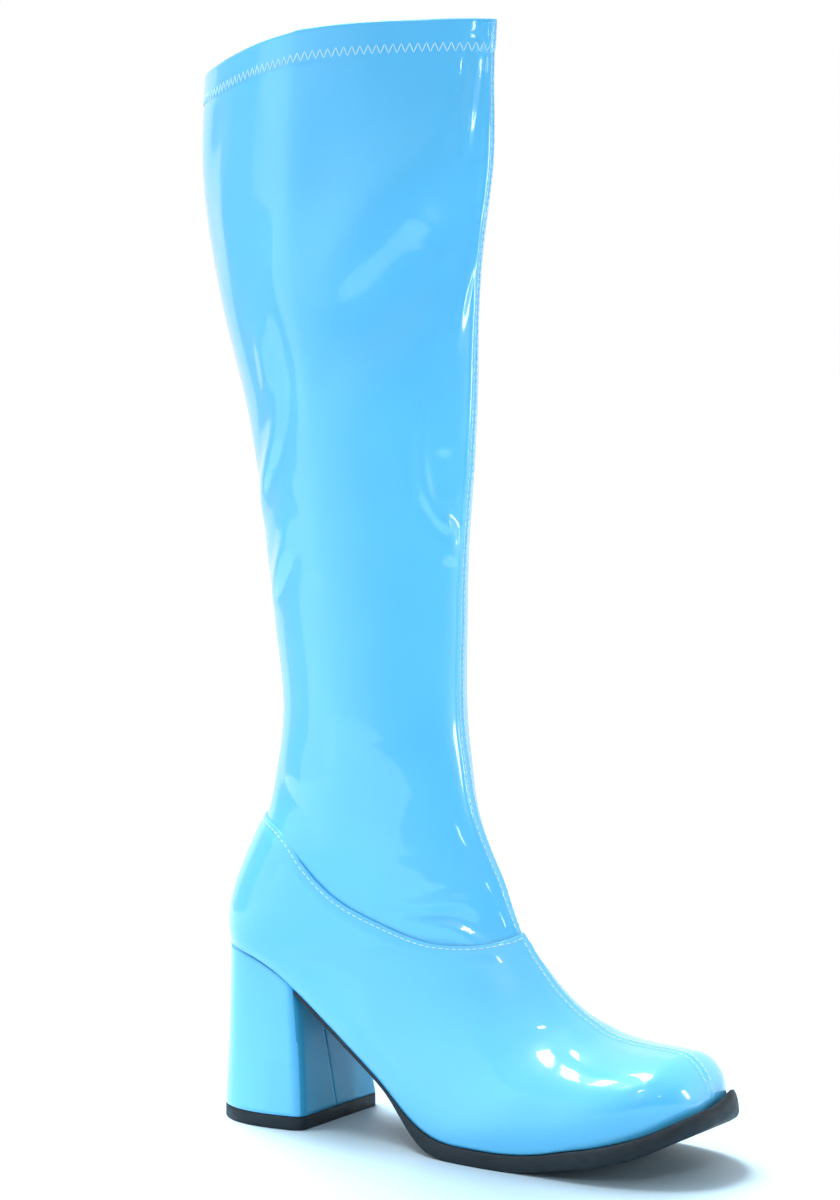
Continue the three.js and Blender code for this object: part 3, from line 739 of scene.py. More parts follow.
def closed_piece(name: str, points: Array) -> bpy.types.Object:
    """Makes a solid of one grid that runs round it, with its open ends filled.

    Args:
        name: the object's name.
        points: the grid's places in millimetres, rows by columns by three.

    Returns:
        The object.
    """
    bm = bmesh.new()
    add_grid(bm, points)
    bmesh.ops.remove_doubles(bm, verts=bm.verts, dist=WELD)
    bmesh.ops.holes_fill(bm, edges=[edge for edge in bm.edges if edge.is_boundary], sides=0)
    return finish_mesh(bm, name)


def dress(piece: bpy.types.Object, slot: str, *materials: bpy.types.Material) -> None:
    """Gives a piece its materials and lets it ride on the boot.

    Args:
        piece: the piece.
        slot: a material slot's name; not used.
        materials: its materials, in the order of the numbers on its faces.
    """
    for material in materials:
        piece.data.materials.append(material)
    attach(piece, "root")
    LOG.info("%s: %d faces", piece.name, len(piece.data.polygons))


# Finishes


class Board:
    """A material's node tree, with short ways to add and join nodes."""

    def __init__(self, name: str) -> None:
        """Starts an empty tree with its output.

        Args:
            name: the material's name.
        """
        self.material = bpy.data.materials.new(name)
        self.material.use_nodes = True
        self.tree = self.material.node_tree
        self.tree.nodes.clear()
        self.output = self.tree.nodes.new("ShaderNodeOutputMaterial")

    def add(self, kind: str, values: dict | None = None, **settings: object) -> bpy.types.Node:
        """Adds a node.

        Args:
            kind: its type's name.
            values: values or links for its inputs, by name or number.
            settings: the node's own settings.

        Returns:
            The node.
        """
        node = self.tree.nodes.new(kind)
        for key, value in settings.items():
            setattr(node, key, value)
        for key, value in (values or {}).items():
            if isinstance(value, bpy.types.NodeSocket):
                self.tree.links.new(value, node.inputs[key])
            else:
                node.inputs[key].default_value = value
        return node

    def where(self) -> Socket:
        """The Object coordinates."""
        return self.add("ShaderNodeTexCoord").outputs["Object"]

    def noise(self, scale: float, detail: float, stretch: tuple = (1, 1, 1)) -> Socket:
        """A noise on Object coordinates.

        Args:
            scale: its scale, per metre.
            detail: its octaves.
            stretch: scale along X, Y and Z.

        Returns:
            The noise's value socket.
        """
        moved = self.add("ShaderNodeMapping", {"Vector": self.where(), "Scale": stretch})
        made = self.add("ShaderNodeTexNoise", {
            "Vector": moved.outputs[0], "Scale": scale, "Detail": detail, "Roughness": 0.55})
        return made.outputs[0]

    def ramp(self, value: Socket, stops: Sequence[tuple]) -> Socket:
        """Colours along a value.

        Args:
            value: the socket that drives it.
            stops: places and colours, or single numbers for greys.

        Returns:
            The colour socket.
        """
        node = self.add("ShaderNodeValToRGB", {"Fac": value})
        elements = node.color_ramp.elements
        while len(elements) < len(stops):
            elements.new(0.5)
        for element, (place, colour) in zip(elements, stops):
            element.position = place
            element.color = (*(colour if isinstance(colour, tuple) else (colour,) * 3), 1)
        return node.outputs[0]

    def math(self, operation: str, first: Socket, second: Socket | float) -> Socket:
        """A sum, product or other operation on two values."""
        return self.add("ShaderNodeMath", {0: first, 1: second},
                        operation=operation).outputs[0]

    def bump(self, height: Socket, distance: float, under: Socket | None = None) -> Socket:
        """A bump.

        Args:
            height: the height socket.
            distance: how high 1 stands, in metres.
            under: another bump's normal, which this one adds to.

        Returns:
            The normal socket.
        """
        values = {"Height": height, "Distance": distance, "Strength": 1.0}
        if under is not None:
            values["Normal"] = under
        return self.add("ShaderNodeBump", values).outputs[0]

    def finish(self, shader: bpy.types.Node) -> bpy.types.Material:
        """Joins the shader to the output and hands the material back."""
        self.tree.links.new(shader.outputs[0], self.output.inputs[0])
        return self.material

    def surface(self, values: dict) -> bpy.types.Material:
        """Finishes the material with a Principled shader of these values."""
        return self.finish(self.add("ShaderNodeBsdfPrincipled", values))


@dataclass(frozen=True)
class Patent:
    """High-gloss patent: a tinted coat under a clear film with a faint ripple."""

    name: str = "patent"
    colour: tuple = (0.085, 0.5, 0.86)
    deep: tuple = (0.075, 0.46, 0.82)
    roughness: float = 0.3
    coat: float = 1.0
    coat_roughness: float = 0.03
    ripple: float = 0.00014

    def build(self) -> bpy.types.Material:
        """Makes the material."""
        board = Board(self.name)
        broad = board.noise(9, 2)
        colour = board.ramp(broad, [(0.35, self.deep), (0.65, self.colour)])
        film = board.noise(55, 2, (1, 1, 0.6))
        speck = board.noise(900, 2)
        normal = board.bump(film, self.ripple, board.bump(speck, 0.000012))
        dull = board.ramp(board.noise(30, 4), [(0.3, self.roughness), (0.8, self.roughness * 1.5)])
        return board.surface({
            "Base Color": colour, "Roughness": dull, "IOR": 1.5,
            "Specular IOR Level": 0.5, "Coat Weight": self.coat,
            "Coat Roughness": self.coat_roughness, "Coat IOR": 1.5,
            "Normal": normal, "Coat Normal": normal})


@dataclass(frozen=True)
class Rubber:
    """Matt black rubber with a fine grain and slightly paler patches."""

    colour: tuple = (0.006, 0.013, 0.019)
    worn: tuple = (0.012, 0.024, 0.033)
    roughness: float = 0.46

    def build(self) -> bpy.types.Material:
        """Makes the material."""
        board = Board("sole_rubber")
        broad = board.noise(40, 5)
        colour = board.ramp(broad, [(0.4, self.colour), (0.75, self.worn)])
        grain = board.noise(1800, 3)
        wipe = board.noise(120, 4, (1, 1, 4))
        normal = board.bump(wipe, 0.00006, board.bump(grain, 0.00002))
        dull = board.ramp(wipe, [(0.35, self.roughness), (0.7, self.roughness + 0.2)])
        return board.surface({
            "Base Color": colour, "Roughness": dull, "IOR": 1.5,
            "Specular IOR Level": 0.3, "Normal": normal})


@dataclass(frozen=True)
class Cloth:
    """A plain pale lining cloth with a fine knit."""

    name: str = "lining"
    colour: tuple = (0.72, 0.74, 0.76)
    shade: tuple = (0.6, 0.63, 0.66)
    scale: float = 1400

    def build(self) -> bpy.types.Material:
        """Makes the material."""
        board = Board(self.name)
        broad = board.noise(60, 3)
        colour = board.ramp(broad, [(0.3, self.shade), (0.7, self.colour)])
        knit = board.add("ShaderNodeTexVoronoi", {"Vector": board.where(), "Scale": self.scale})
        normal = board.bump(knit.outputs["Distance"], 0.00012)
        return board.surface({
            "Base Color": colour, "Roughness": 0.88, "Sheen Weight": 0.25,
            "Sheen Roughness": 0.5, "Normal": normal})


@dataclass(frozen=True)
class Thread:
    """Pale polyester thread."""

    colour: tuple = (0.66, 0.87, 0.98)
    shade: tuple = (0.45, 0.76, 0.94)

    def build(self) -> bpy.types.Material:
        """Makes the material."""
        board = Board("thread")
        twist = board.noise(2500, 2)
        colour = board.ramp(twist, [(0.35, self.shade), (0.65, self.colour)])
        normal = board.bump(twist, 0.00005)
        return board.surface({
            "Base Color": colour, "Roughness": 0.5, "Sheen Weight": 0.3,
            "Sheen Roughness": 0.4, "Normal": normal})


@dataclass(frozen=True)
class PaleFloor:
    """The studio's pale floor, with a darker bluish tint painted near the boot as the shade of its
    shadow, and whiter farther out.
    """

    near: tuple = (0.36, 0.5, 0.6)
    far: tuple = (0.62, 0.7, 0.74)

    def build(self) -> bpy.types.Material:
        """Makes the material."""
        board = Board("pale_floor_painted_shade")
        away = board.add("ShaderNodeVectorMath", {0: board.where()},
                         operation="LENGTH").outputs["Value"]
        cloud = board.math("MULTIPLY", board.noise(1.5, 2), 0.2)
        share = board.math("ADD", board.math("MULTIPLY", away, 0.5), cloud)
        # painted shade: darker and bluer near the boot, where its shadow falls, whiter farther out
        tint = board.ramp(share, [(0.25, self.near), (0.7, self.far)])
        return board.surface({
            "Base Color": tint, "Roughness": 0.5, "Specular IOR Level": 0.25})


@dataclass
class Finishes:
    """Every material of the boot, built once."""

    patent: bpy.types.Material = field(default_factory=lambda: Patent().build())
    # a darker, duller copy of the patent for the heel's breast: painted shade where the breast lies in
    # the boot's shadow
    breast: bpy.types.Material = field(default_factory=lambda: Patent(
        "patent_breast_painted_shade", (0.02, 0.3, 0.54), (0.018, 0.28, 0.5), 0.45, 0.25, 0.15).build())
    rubber: bpy.types.Material = field(default_factory=lambda: Rubber().build())
    lining: bpy.types.Material = field(default_factory=lambda: Cloth().build())
    sock: bpy.types.Material = field(default_factory=lambda: Cloth(
        "sock_lining", (0.7, 0.66, 0.6), (0.58, 0.54, 0.48), 900).build())
    thread: bpy.types.Material = field(default_factory=lambda: Thread().build())


# Stitches


@dataclass
class Stitches:
    """Rows of thread laid on a skin.

    Attributes:
        finishes: the boot's materials.
        thickness: the thread's thickness in millimetres.
        length: a straight stitch's length.
        gap: what of the patent shows between two stitches.
        depth: how deep the thread's middle lies, negative for over the skin.
    """

    finishes: Finishes
    thickness: float = 0.44
    length: float = 2.2
    gap: float = 0.8
    depth: float = -0.12

    def __post_init__(self) -> None:
        """Starts the mesh that all rows go into."""
        self.bm = bmesh.new()
        self.count = 0

    def row(self, points: Array) -> None:
        """Lays straight stitches along a line of close points in millimetres."""
        gone = gone_along(points)
        pitch = self.length + self.gap
        for start in np.arange(self.gap / 2, gone[-1] - self.length, pitch):
            ends = [np.array([np.interp(at, gone, points[:, axis]) for axis in range(3)])
                    for at in (start, start + self.length)]
            self.thread(*ends)

    def thread(self, start: Array, end: Array) -> None:
        """Lays one thread between two points in millimetres.

        Args:
            start: where it comes up.
            end: where it goes down.
        """
        run = Vector(end - start) * MM
        middle = Vector((start + end) / 2) * MM
        turned = run.to_track_quat("Z", "X").to_matrix().to_4x4()
        half = self.thickness / 2 * MM
        shape = Matrix.Diagonal((half, half, run.length / 2 + half * 0.6, 1))
        bmesh.ops.create_uvsphere(self.bm, u_segments=6, v_segments=5, radius=1,
                                  matrix=Matrix.Translation(middle) @ turned @ shape)
        self.count += 1

    def finish(self, name: str) -> None:
        """Makes one piece of all rows, with this name."""
        LOG.info("%s: %d stitches", name, self.count)
        dress(finish_mesh(self.bm, name, weld=False), "patent", self.finishes.thread)


# The shaft


@dataclass
class Shaft:
    """The leg of stretch patent, with its turned hem and its lining.

    Sizes are in millimetres.
    """

    last: Last
    finishes: Finishes
    wall: float = 1.2
    hem_wall: float = 2.2
    hem_width: float = 13.0
    lap: float = 7.0
    hem_step: float = 0.35
    hem_pull: float = 0.3
    edge_round: float = 0.6
    gap: float = 1.4
    seam_gap: float = 0.6
    rows: int = 300
    lining_rows: int = 40
    zigzag_down: float = 11.8
    zigzag_pitch: float = 1.75
    zigzag_swing: float = 2.1

    def __post_init__(self) -> None:
        """Sets up the skin."""
        self.skin = Skin(self.last, LEG_CREASES, edge_sink=1.9, back_seam=0.35)

    def hem_relief(self, walk: Array, turn: Array) -> Array:
        """How far the doubled hem stands out of the leg's surface."""
        down = walk - self.last.collar(turn)
        step = self.hem_step * (1 - ease(self.hem_width - 1, self.hem_width + 1.5, down))
        return step - self.hem_pull * bump(down - self.hem_width + 0.5, 2.2)

    def place(self, walk: Array, turn: Array, depth: Array = 0.0) -> Array:
        """Points on the leg's skin or under it, with the hem's relief."""
        walk, turn = np.broadcast_arrays(np.asarray(walk, float), np.asarray(turn, float))
        return self.skin.place(walk, turn, np.asarray(depth) - self.hem_relief(walk, turn))

    def build(self) -> None:
        """Builds the leg as one closed shell."""
        turns = turn_stops(self.last, self.last.top_walk + 120, self.gap, self.seam_gap)
        top, bottom = self.last.collar(turns), self.last.seam(turns) + self.lap
        down = np.arange(self.edge_round, self.hem_width + 4, 0.8)
        hem_end = top + down[-1]
        rows = [(hem_end + (bottom - hem_end) * share, 0.0)
                for share in np.linspace(1, 0, self.rows)]
        rows += [(top + at, 0.0) for at in down[::-1][1:]]
        radius = self.hem_wall / 2
        rows += [(top + self.edge_round - radius * math.sin(angle) * 0.55,
                  radius * (1 - math.cos(angle))) for angle in np.linspace(0, math.pi, 8)]
        rows += [(top + at, self.hem_wall) for at in np.linspace(2, self.hem_width, 6)]
        first_lined = len(rows)
        inner = top + self.hem_width + 0.6
        rows += [(inner + (bottom - inner) * share, self.wall)
                 for share in np.linspace(0, 1, self.lining_rows)]
        rows.append(rows[0])
        walks = np.asarray([walk for walk, _ in rows])
        depth = np.asarray([depth for _, depth in rows])[:, None]
        points = self.place(walks, turns[None, :], depth)
        bm = bmesh.new()
        add_grid(bm, points)
        for number, face in enumerate(bm.faces):
            face.material_index = int(number // (len(turns) - 1) >= first_lined - 1)
        piece = finish_mesh(bm, "shaft_skin")
        dress(piece, "patent", self.finishes.patent, self.finishes.lining)
        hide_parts("shaft")

    def stitch_rows(self, stitches: Stitches) -> None:
        """Lays the front seam's double row and the hem's zigzag.

        Args:
            stitches: the mesh that they go into.
        """
        walks = np.linspace(float(self.last.collar(0)) + 3, float(self.last.seam(0)) - 0.8, 900)
        away = 1.0 + 1.1 * ease(-150, -40, walks)
        for side in Side:
            turns = self.last.beside(walks, side.value * away, 0.2)
            stitches.row(self.place(walks, turns, stitches.depth))
        self.zigzag(stitches)

    def zigzag(self, stitches: Stitches) -> None:
        """Lays the hem's zigzag round the leg.

        Args:
            stitches: the mesh that it goes into.
        """
        fine = np.linspace(-1, 1, 3001)
        gone = gone_along(self.place(self.last.collar(fine) + self.zigzag_down, fine))
        # an even number, so that the two ends meet
        count = int(gone[-1] / self.zigzag_pitch) // 2 * 2
        turns = np.interp(np.linspace(0, gone[-1], count + 1), gone, fine)
        swing = np.where(np.arange(count + 1) % 2 == 0, -self.zigzag_swing, self.zigzag_swing)
        walks = self.last.collar(turns) + self.zigzag_down + swing
        points = self.place(walks, turns, stitches.depth)
        for start, end in zip(points[:-1], points[1:]):
            run = end - start
            stitches.thread(start + run * 0.04, end - run * 0.04)


# The foot part


@dataclass
class FootPart:
    """Vamp and quarters: one lasted shell of patent. Sizes are in millimetres."""

    last: Last
    finishes: Finishes
    wall: float = 1.6
    margin: float = 12.0
    lap: float = 7.0
    bevel: float = 0.15
    bevel_depth: float = 0.35
    gap: float = 1.5
    seam_gap: float = 0.6
    edge_inset: float = 1.9
    seam_inset: float = 2.1
    lead: float = 14.0
    stations: int = 150

    def __post_init__(self) -> None:
        """Sets up the skin."""
        self.skin = Skin(self.last, FOOT_CREASES, skive=0.8)

    def build(self) -> None:
        """Builds the shell: the wall, the margin turned in under it, and its thickness."""
        turns = turn_stops(self.last, 60, self.gap, self.seam_gap)
        start = self.last.seam(turns)
        bevelled, lapped = start + self.bevel, start + self.lap
        front = self.lead * (1 - np.abs(turns)) ** 2
        rows = [start, bevelled]
        rows += [bevelled + (lapped - start - self.bevel) * share
                 for share in np.linspace(0, 1, 7)[1:]]
        rows += [lapped + (front - lapped) * share for share in np.linspace(0, 1, 36)[1:]]
        seat_row = len(rows) - 1
        length = self.last.sizes.foot_length
        stations = length * (0.6 * cosine_shares(self.stations)
                             + 0.4 * np.linspace(0, 1, self.stations))
        rows += [station + front * (1 - station / length) for station in stations[1:]]
        depth = np.zeros((len(rows), 1))
        depth[0] = self.bevel_depth
        points = self.skin.place(np.asarray(rows), turns[None, :], depth)
        # the edges stay on the feather line, where the margin joins
        edges = ((0, Side.OUTER), (-1, Side.INNER))
        for column, side in edges:
            points[seat_row:, column] = self.last.point(stations, side.value)
        points[-1] = self.last.point(length, 1)
        bm = bmesh.new()
        add_grid(bm, points)
        for column, side in edges:
            strip = np.stack([self.last.feather_point(stations, side, -out, 0.0)
                              for out in (0.0, 2, 4, 8, self.margin)], axis=1)
            strip[:, 0] = points[seat_row:, column]
            add_grid(bm, strip)
        piece = finish_mesh(bm, "foot_skin")
        thick = piece.modifiers.new("wall", "SOLIDIFY")
        thick.thickness = self.wall * 0.9 * MM
        thick.offset = -1
        thick.material_offset = 1
        thick.use_rim = True
        dress(piece, "patent", self.finishes.patent, self.finishes.lining)
        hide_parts("upper")

    def stitch_rows(self, stitches: Stitches) -> None:
        """Lays the row along the top edge and the double row down the vamp.

        Args:
            stitches: the mesh that they go into.
        """
        for side in Side:
            turns = np.linspace(0.015, 0.985, 900) * side.value
            walks = self.last.seam(turns) + self.edge_inset
            stitches.row(self.skin.place(walks, turns, stitches.depth))
        walks = np.linspace(float(self.last.seam(0)) + 4.2, self.last.sizes.foot_length - 2.2, 700)
        for side in Side:
            turns = self.last.beside(walks, side.value * self.seam_inset, 0.45)
            stitches.row(self.skin.place(walks, turns, stitches.depth))


# The sole


@dataclass
class Outsole:
    """The black rubber outsole with its edge rolled up round the toe."""

    last: Last
    finishes: Finishes
    clearance: float = 0.3
    ball: float = 6.7
    toe: float = 7.6
    shank: float = 1.7
    side_ledge: float = 2.0
    toe_ledge: float = 6.0
    lip: float = 0.5
    tip_lift: float = 4.4
    flat: float = 0.25
    breast: float = 44.6
    stations: int = 190
    across: int = 11

    # the side from the feather line down: out, lip, down
    PROFILE = (
        (0, 0, 0), (0.1, -0.1, 0.0), (0.2, 0.2, 0), (0.32, 0.8, 0), (0.47, 1.0, 0),
        (0.62, 0.95, 0.02), (0.76, 0.7, 0.1), (0.88, 0.4, 0.24), (0.96, 0.15, 0.42),
        (1.0, 0, 0.62), (0.99, 0, 0.8), (0.94, 0, 0.93), (0.85, 0, 1.0),
    )

    def thickness(self, x: Array) -> Array:
        """The outsole's thickness at places along X."""
        share = (x - self.last.sizes.heel_back) / self.last.sizes.foot_length
        ball = ease(0.395, 0.51, share)
        toe = ease(0.72, 0.98, share)
        return self.shank + (self.ball - self.shank) * ball + (self.toe - self.ball) * toe

    def tread(self, x: Array) -> Array:
        """The tread's height over the floor at places along X."""
        bottom = self.last.feather(x) - self.clearance - self.thickness(x) - self.flat
        return np.maximum(0, bottom)

    def build(self) -> None:
        """Builds the outsole as one closed solid."""
        length = self.last.sizes.foot_length
        closer = np.sin(np.linspace(0, math.pi / 2, self.stations))
        even = np.linspace(0, 1, self.stations)
        stations = self.breast + (length - self.breast) * (0.75 * closer + 0.25 * even)
        share = stations / length
        toe = ease(0.72, 0.98, share)
        side = self.side_ledge * ease(0.36, 0.55, share)
        ledge = side + (self.toe_ledge - side) * toe
        loops = {}
        for edge in Side:
            columns = []
            for out, lip, down in self.PROFILE:
                points = self.last.feather_point(stations, edge, ledge * out, -self.clearance)
                fall = down * (points[:, 2] - self.tread(points[:, 0]))
                # the lip stands highest on the inner side of the tip
                tip = ease(0.88, 0.98, share) * ease(-7, 14, points[:, 1])
                points[:, 2] += (self.lip * toe + self.tip_lift * tip) * lip - fall
                columns.append(points)
            loops[edge] = np.stack(columns, axis=1)
        outer, inner = loops[Side.OUTER], loops[Side.INNER]
        top = between(inner[:, 0], outer[:, 0], self.across)
        top[:, 1:-1, 2] = self.last.feather(top[:, 1:-1, 0]) - self.clearance
        under = between(outer[:, -1], inner[:, -1], self.across)
        under[:, 1:-1, 2] = self.tread(under[:, 1:-1, 0])
        loop = np.concatenate([top, outer[:, 1:], under[:, 1:], inner[:, ::-1][:, 1:]], axis=1)
        piece = closed_piece("outsole_rubber", loop)
        dress(piece, "sole_rubber", self.finishes.rubber)
        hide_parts("outsole")


# The heel


@dataclass
class BlockHeel:
    """The covered block heel and its rubber top piece. Sizes are in millimetres."""

    last: Last
    finishes: Finishes
    length: float = 53.0
    width: float = 66.5
    power: float = 2.4
    curve: float = 0.62
    taper: float = 0.055
    top_piece: float = 6.0
    seat: float = 44.0
    corner: float = 5.5
    waist: float = 0.036
    clearance: float = 0.3
    seam_top: float = -8.6
    seam_bottom: float = -3.3
    side_points: int = 60
    left_points: int = 11
    right_points: int = 15

    # the cover's seam down the breast: places beside it and how deep it lies there
    SEAM_STEPS = (-2.2, -1.2, -0.55, -0.28, 0.0, 0.28, 0.55, 1.2, 2.2)
    SEAM_DEPTHS = (0.001, -0.05, 0.02, 0.22, 0.5, 0.22, 0.02, -0.05, 0.001)

    def breast_corner(self, from_breast: Array) -> Array:
        """How far a corner beside the breast is drawn in."""
        short = np.clip(1 - from_breast / self.corner, 0, 1)
        return self.corner * (1 - np.sqrt(1 - short**2))

    def seat_outline(self, share: Array, side: Side) -> Array:
        """The heel's outline where it meets the seat.

        Args:
            share: shares of the heel from its back to its breast.
            side: which side.

        Returns:
            Points in millimetres.
        """
        walk = share * self.seat
        points = self.last.point(walk, side.value)
        drawn = np.minimum(self.breast_corner(self.seat - walk), np.abs(points[:, 1]))
        points[:, 1] -= side.value * drawn
        points[:, 2] = self.last.feather(points[:, 0]) - self.clearance
        return points

    def floor_outline(self, share: Array, side: Side, height: float) -> Array:
        """The heel's D-shaped outline near the floor.

        Args:
            share: shares of the heel from its back to its breast.
            side: which side.
            height: its height in millimetres.

        Returns:
            Points in millimetres.
        """
        back = share * self.length
        reach = self.length * self.curve
        bulge = round_off(1 - back / reach, self.power)
        narrow = 1 - self.taper * ease(reach, self.length, back)
        half = self.width / 2 * bulge * narrow
        drawn = np.minimum(self.breast_corner(self.length - back), half)
        return np.stack([back - self.length / 2, side.value * (half - drawn),
                         np.full_like(back, height)], axis=-1)

    def ring(self, outline: Callable[[Array, Side], Array], seam_y: float = 0.0) -> Array:
        """A closed outline: the outer side to the breast, across it, and back.

        Args:
            outline: gives one side's points.
            seam_y: where the cover's seam crosses the breast.

        Returns:
            Points in millimetres, the last one on the first.
        """
        shares = cosine_shares(self.side_points)
        outer, inner = outline(shares, Side.OUTER), outline(shares, Side.INNER)
        seam = seam_y + np.array(self.SEAM_STEPS)
        across = np.concatenate([
            np.linspace(outer[-1, 1], seam[0], self.left_points + 2)[1:-1], seam,
            np.linspace(seam[-1], inner[-1, 1], self.right_points + 2)[1:-1]])
        breast = np.repeat(outer[-1:], len(across), axis=0)
        breast[:, 1] = across
        return np.concatenate([outer, breast, inner[::-1]])

    def build(self) -> None:
        """Builds the covered block."""
        bottom = self.top_piece + self.clearance
        high = self.ring(self.seat_outline, self.seam_top)
        low = self.ring(lambda share, side: self.floor_outline(share, side, bottom),
                        self.seam_bottom)
        seam_from = self.side_points + self.left_points
        groove = np.zeros(len(high))
        groove[seam_from : seam_from + len(self.SEAM_STEPS)] = self.SEAM_DEPTHS
        levels = []
        for down in np.linspace(0, 1, 40):
            ring = high + (low - high) * down
            ring[:, 1] *= 1 - self.waist * math.sin(math.pi * down)
            ring[:, 0] -= groove
            levels.append(ring)
        lip = levels[-1].copy()
        lip[:, :2] *= 0.985
        levels.append(lip)
        piece = closed_piece("heel_cover", np.asarray(levels))
        # faces that look forward, the breast, take the darker copy of the patent: painted shade
        dress(piece, "patent", self.finishes.patent, self.finishes.breast)
        for face in piece.data.polygons:
            face.material_index = int(face.normal.x > 0.75)
        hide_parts("heel_block")

    def build_top_piece(self) -> None:
        """Builds the rubber piece under the heel, with its edges eased."""
        levels = []
        for height, shrink in ((6.0, 0.975), (6.0, 0.992), (5.6, 1.0), (4.0, 1.0),
                               (2.0, 1.0), (0.5, 1.0), (0.12, 0.996), (0.0, 0.985)):
            ring = self.ring(lambda share, side: self.floor_outline(share, side, height))
            ring[:, :2] *= shrink
            levels.append(ring)
        piece = closed_piece("heel_rubber", np.asarray(levels))
        dress(piece, "sole_rubber", self.finishes.rubber)
        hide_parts("heel_top_piece")


# Inside


@dataclass
class SockLining:
    """The sock lining that covers the insole board. Sizes are in millimetres."""

    last: Last
    finishes: Finishes
    inset: float = 3.1
    bottom: float = 2.0
    thickness: float = 2.4

    def build(self) -> None:
        """Builds the lining as a thin closed slab."""
        stations = self.last.sizes.foot_length * cosine_shares(90)
        outer, inner = (self.last.feather_point(stations, side, -self.inset, self.bottom)
                        for side in Side)
        under = between(outer, inner, 15)
        under[..., 2] = self.last.feather(under[..., 0]) + self.bottom
        top = under + [0, 0, self.thickness]
        bm = bmesh.new()
        add_grid(bm, np.concatenate([top, under[:, ::-1], top[:, :1]], axis=1))
        piece = finish_mesh(bm, "sock_lining")
        dress(piece, "insole_board", self.finishes.sock)
        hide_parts("insole")


# The studio


@dataclass(frozen=True)
class Surround:
    """A ring of softboxes, gaps and dark cards, which lights the boot and mirrors in it.

    Attributes:
        radius: its distance in metres.
        height: its height in metres.
        start: the bearing in degrees where its list of stops starts.
        stops: bearings in degrees and how bright it is there.
    """

    radius: float = 1.0
    height: float = 0.75
    start: float = 170.0
    stops: tuple = ((171, 0.45), (202, 0.45), (204, 1.4), (236, 1.45), (262, 1.1),
                    (292, 0.5), (318, 0.32), (372, 0.28), (388, 0.32), (392, 1.0),
                    (528, 1.05))

    def build(self) -> None:
        """Spins the wall up and gives it its glow; the camera itself doesn't see it."""
        bm = bmesh.new()
        foot = bm.verts.new((self.radius, 0, 0.004))
        head = bm.verts.new((self.radius, 0, self.height))
        edge = bm.edges.new((foot, head))
        bmesh.ops.spin(bm, geom=[foot, head, edge], cent=(0, 0, 0), axis=(0, 0, 1), steps=96,
                       angle=math.tau, use_merge=True, use_duplicate=False)
        wall = finish_mesh(bm, "surround")
        board = Board("surround_glow")
        turned = board.add("ShaderNodeMapping", {
            "Vector": board.where(), "Rotation": (0, 0, math.radians(180 - self.start))})
        bearing = board.add("ShaderNodeTexGradient", {"Vector": turned.outputs[0]},
                            gradient_type="RADIAL")
        brightest = max(bright for _, bright in self.stops)
        stops = [((degrees - self.start) / 360, bright / brightest)
                 for degrees, bright in self.stops]
        colour = board.ramp(bearing.outputs[0], stops)
        glow = board.add("ShaderNodeEmission", {"Color": colour, "Strength": brightest})
        wall.data.materials.append(board.finish(glow))
        wall.visible_camera = False
        wall.visible_shadow = False


# Strip lamps: name, one end and the other as bearing and height, width, distance, glow
LAMPS = (
    ("top_spot", (152, 79.5), (180, 79.5), 0.12, 2.6, 34),
    ("top_bar", (126, 72), (158, 70.5), 0.3, 2.6, 34),
    ("top_patch", (190, 68), (208, 60), 0.38, 2.6, 34),
    ("toe_streak", (-84, 73), (-66, 80), 0.07, 2.6, 30),
    ("key", (-58, 31), (-58, 38), 0.42, 2.5, 25),
    ("right_strip", (22, -8), (22, 16), 0.11, 0.93, 15),
    ("collar_strip", (-23, 13), (-23, 19), 0.05, 0.93, 15),
)


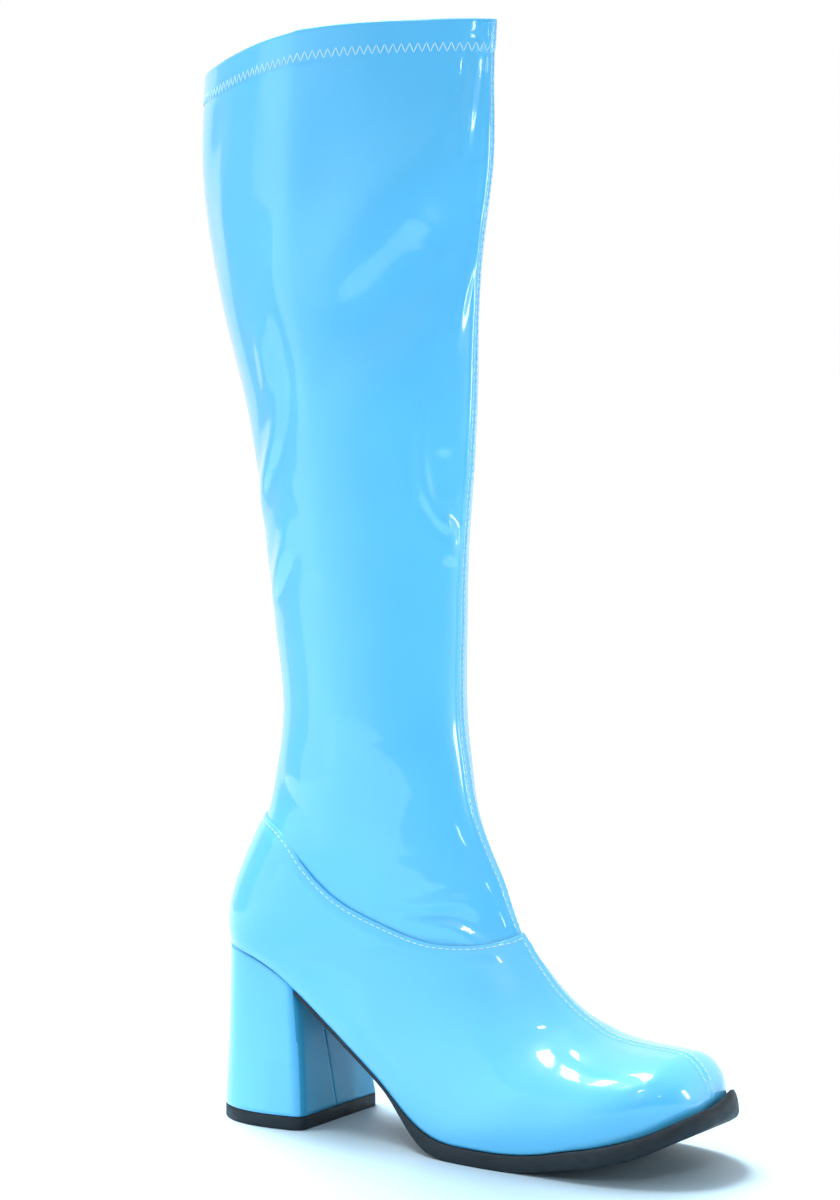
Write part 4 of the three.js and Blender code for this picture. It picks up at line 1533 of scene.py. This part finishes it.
@dataclass
class Studio:
    """Floor, lights and camera. Sizes are in metres."""

    place: tuple = (0.9431, -1.3342, 0.388)
    turned: tuple = (84.485, 0.0, 33.243)
    lens: float = 111.0
    middle: tuple = (0.07, 0.0, 0.2)
    floor_radius: float = 9.0

    def build(self) -> None:
        """Sets the floor, the lights, the camera and how colours are shown."""
        ground = self.floor()
        self.backdrop()
        self.camera()
        self.sky()
        Surround().build()
        for strip in LAMPS:
            self.lamp(*strip)
        self.sun("overhead_wide", 168, 68, 24, 3.25)
        self.sun("floor_light", 150, 58, 26, 3.4).light_linking.receiver_collection = ground
        bpy.context.scene.view_settings.view_transform = "Standard"

    def floor(self) -> bpy.types.Collection:
        """Makes the pale floor, a wide disc, and hands back a collection that holds it."""
        bm = bmesh.new()
        bmesh.ops.create_circle(bm, cap_ends=True, segments=64, radius=self.floor_radius)
        floor = finish_mesh(bm, "floor")
        floor.data.materials.append(PaleFloor().build())
        ground = bpy.data.collections.new("ground")
        ground.objects.link(floor)
        return ground

    def backdrop(self) -> None:
        """Makes the white paper all round, which only the camera sees."""
        bm = bmesh.new()
        bmesh.ops.create_icosphere(bm, subdivisions=4, radius=self.floor_radius + 0.5)
        paper = finish_mesh(bm, "backdrop")
        board = Board("white_paper")
        paper.data.materials.append(board.finish(board.add(
            "ShaderNodeEmission", {"Color": (1, 1, 1, 1), "Strength": 1.0})))
        paper.visible_diffuse = False
        paper.visible_glossy = False
        paper.visible_shadow = False

    def camera(self) -> None:
        """Sets the camera at the photograph's place and angle."""
        data = bpy.data.cameras.new("camera")
        data.lens = self.lens
        data.sensor_width = 36
        camera = linked("camera", data)
        camera.location = self.place
        camera.rotation_euler = [math.radians(angle) for angle in self.turned]
        bpy.context.scene.camera = camera

    def sky(self) -> None:
        """Sets a world that is a white ceiling over a dim horizon."""
        world = bpy.data.worlds.new("sky")
        bpy.context.scene.world = world
        world.use_nodes = True
        tree = world.node_tree
        shade = tree.nodes["Background"]
        up = tree.nodes.new("ShaderNodeSeparateXYZ")
        ramp = tree.nodes.new("ShaderNodeValToRGB")
        where = tree.nodes.new("ShaderNodeTexCoord")
        tree.links.new(where.outputs["Generated"], up.inputs[0])
        tree.links.new(up.outputs["Z"], ramp.inputs[0])
        tree.links.new(ramp.outputs[0], shade.inputs["Color"])
        low, high = ramp.color_ramp.elements
        low.position, low.color = 0.45, (0.12, 0.12, 0.12, 1)
        high.position, high.color = 0.62, (1, 1, 1, 1)
        shade.inputs["Strength"].default_value = 1.0

    @staticmethod
    def bearing(azimuth: float, height: float) -> Vector:
        """The direction of a bearing and a height, both in degrees."""
        flat, up = math.radians(azimuth), math.radians(height)
        return Vector((math.cos(up) * math.cos(flat), math.cos(up) * math.sin(flat), math.sin(up)))

    def lamp(self, name: str, first: tuple, last: tuple, width: float, distance: float,
             glow: float) -> None:
        """Adds a strip of light that faces the boot, between two directions.

        Args:
            name: its name.
            first: bearing and height in degrees of one end.
            last: bearing and height of the other end.
            width: its width in metres.
            distance: its distance from the boot's middle.
            glow: how bright its surface is, in watts a square metre and steradian.
        """
        ends = [self.bearing(*first), self.bearing(*last)]
        aim = (ends[0] + ends[1]).normalized()
        along = (ends[1] - ends[0]).normalized()
        length = (ends[1] - ends[0]).length * distance
        data = bpy.data.lights.new(name, "AREA")
        data.shape = "RECTANGLE"
        data.size, data.size_y = width, length
        data.energy = glow * math.pi * width * length
        light = linked(name, data)
        turned = Matrix((along.cross(aim), along, aim)).transposed()
        light.location = aim * distance + Vector(self.middle)
        light.rotation_euler = turned.to_euler()
        light.visible_camera = False

    def sun(self, name: str, azimuth: float, height: float, spread: float,
            strength: float) -> bpy.types.Object:
        """Adds a broad light from above, which mirrors nowhere.

        Args:
            name: its name.
            azimuth: its bearing in degrees.
            height: its height over the horizon in degrees.
            spread: how wide it looks in degrees.
            strength: what it sheds on a square metre, in watts.

        Returns:
            The light.
        """
        data = bpy.data.lights.new(name, "SUN")
        data.energy = strength
        data.angle = math.radians(spread)
        light = linked(name, data)
        light.rotation_euler = (-self.bearing(azimuth, height)).to_track_quat("-Z", "Y").to_euler()
        light.visible_glossy = False
        return light


# The boot


def main() -> None:
    """Builds the boot, stitches it, and sets the studio."""
    logging.basicConfig(level=logging.INFO)
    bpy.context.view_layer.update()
    last = Last(LastSizes())
    finishes = Finishes()
    shaft = Shaft(last, finishes)
    foot = FootPart(last, finishes)
    heel = BlockHeel(last, finishes)
    shaft.build()
    foot.build()
    Outsole(last, finishes).build()
    heel.build()
    heel.build_top_piece()
    SockLining(last, finishes).build()
    stitches = Stitches(finishes)
    shaft.stitch_rows(stitches)
    foot.stitch_rows(stitches)
    stitches.finish("stitching")
    Studio().build()


if __name__ == "__main__":
    main()
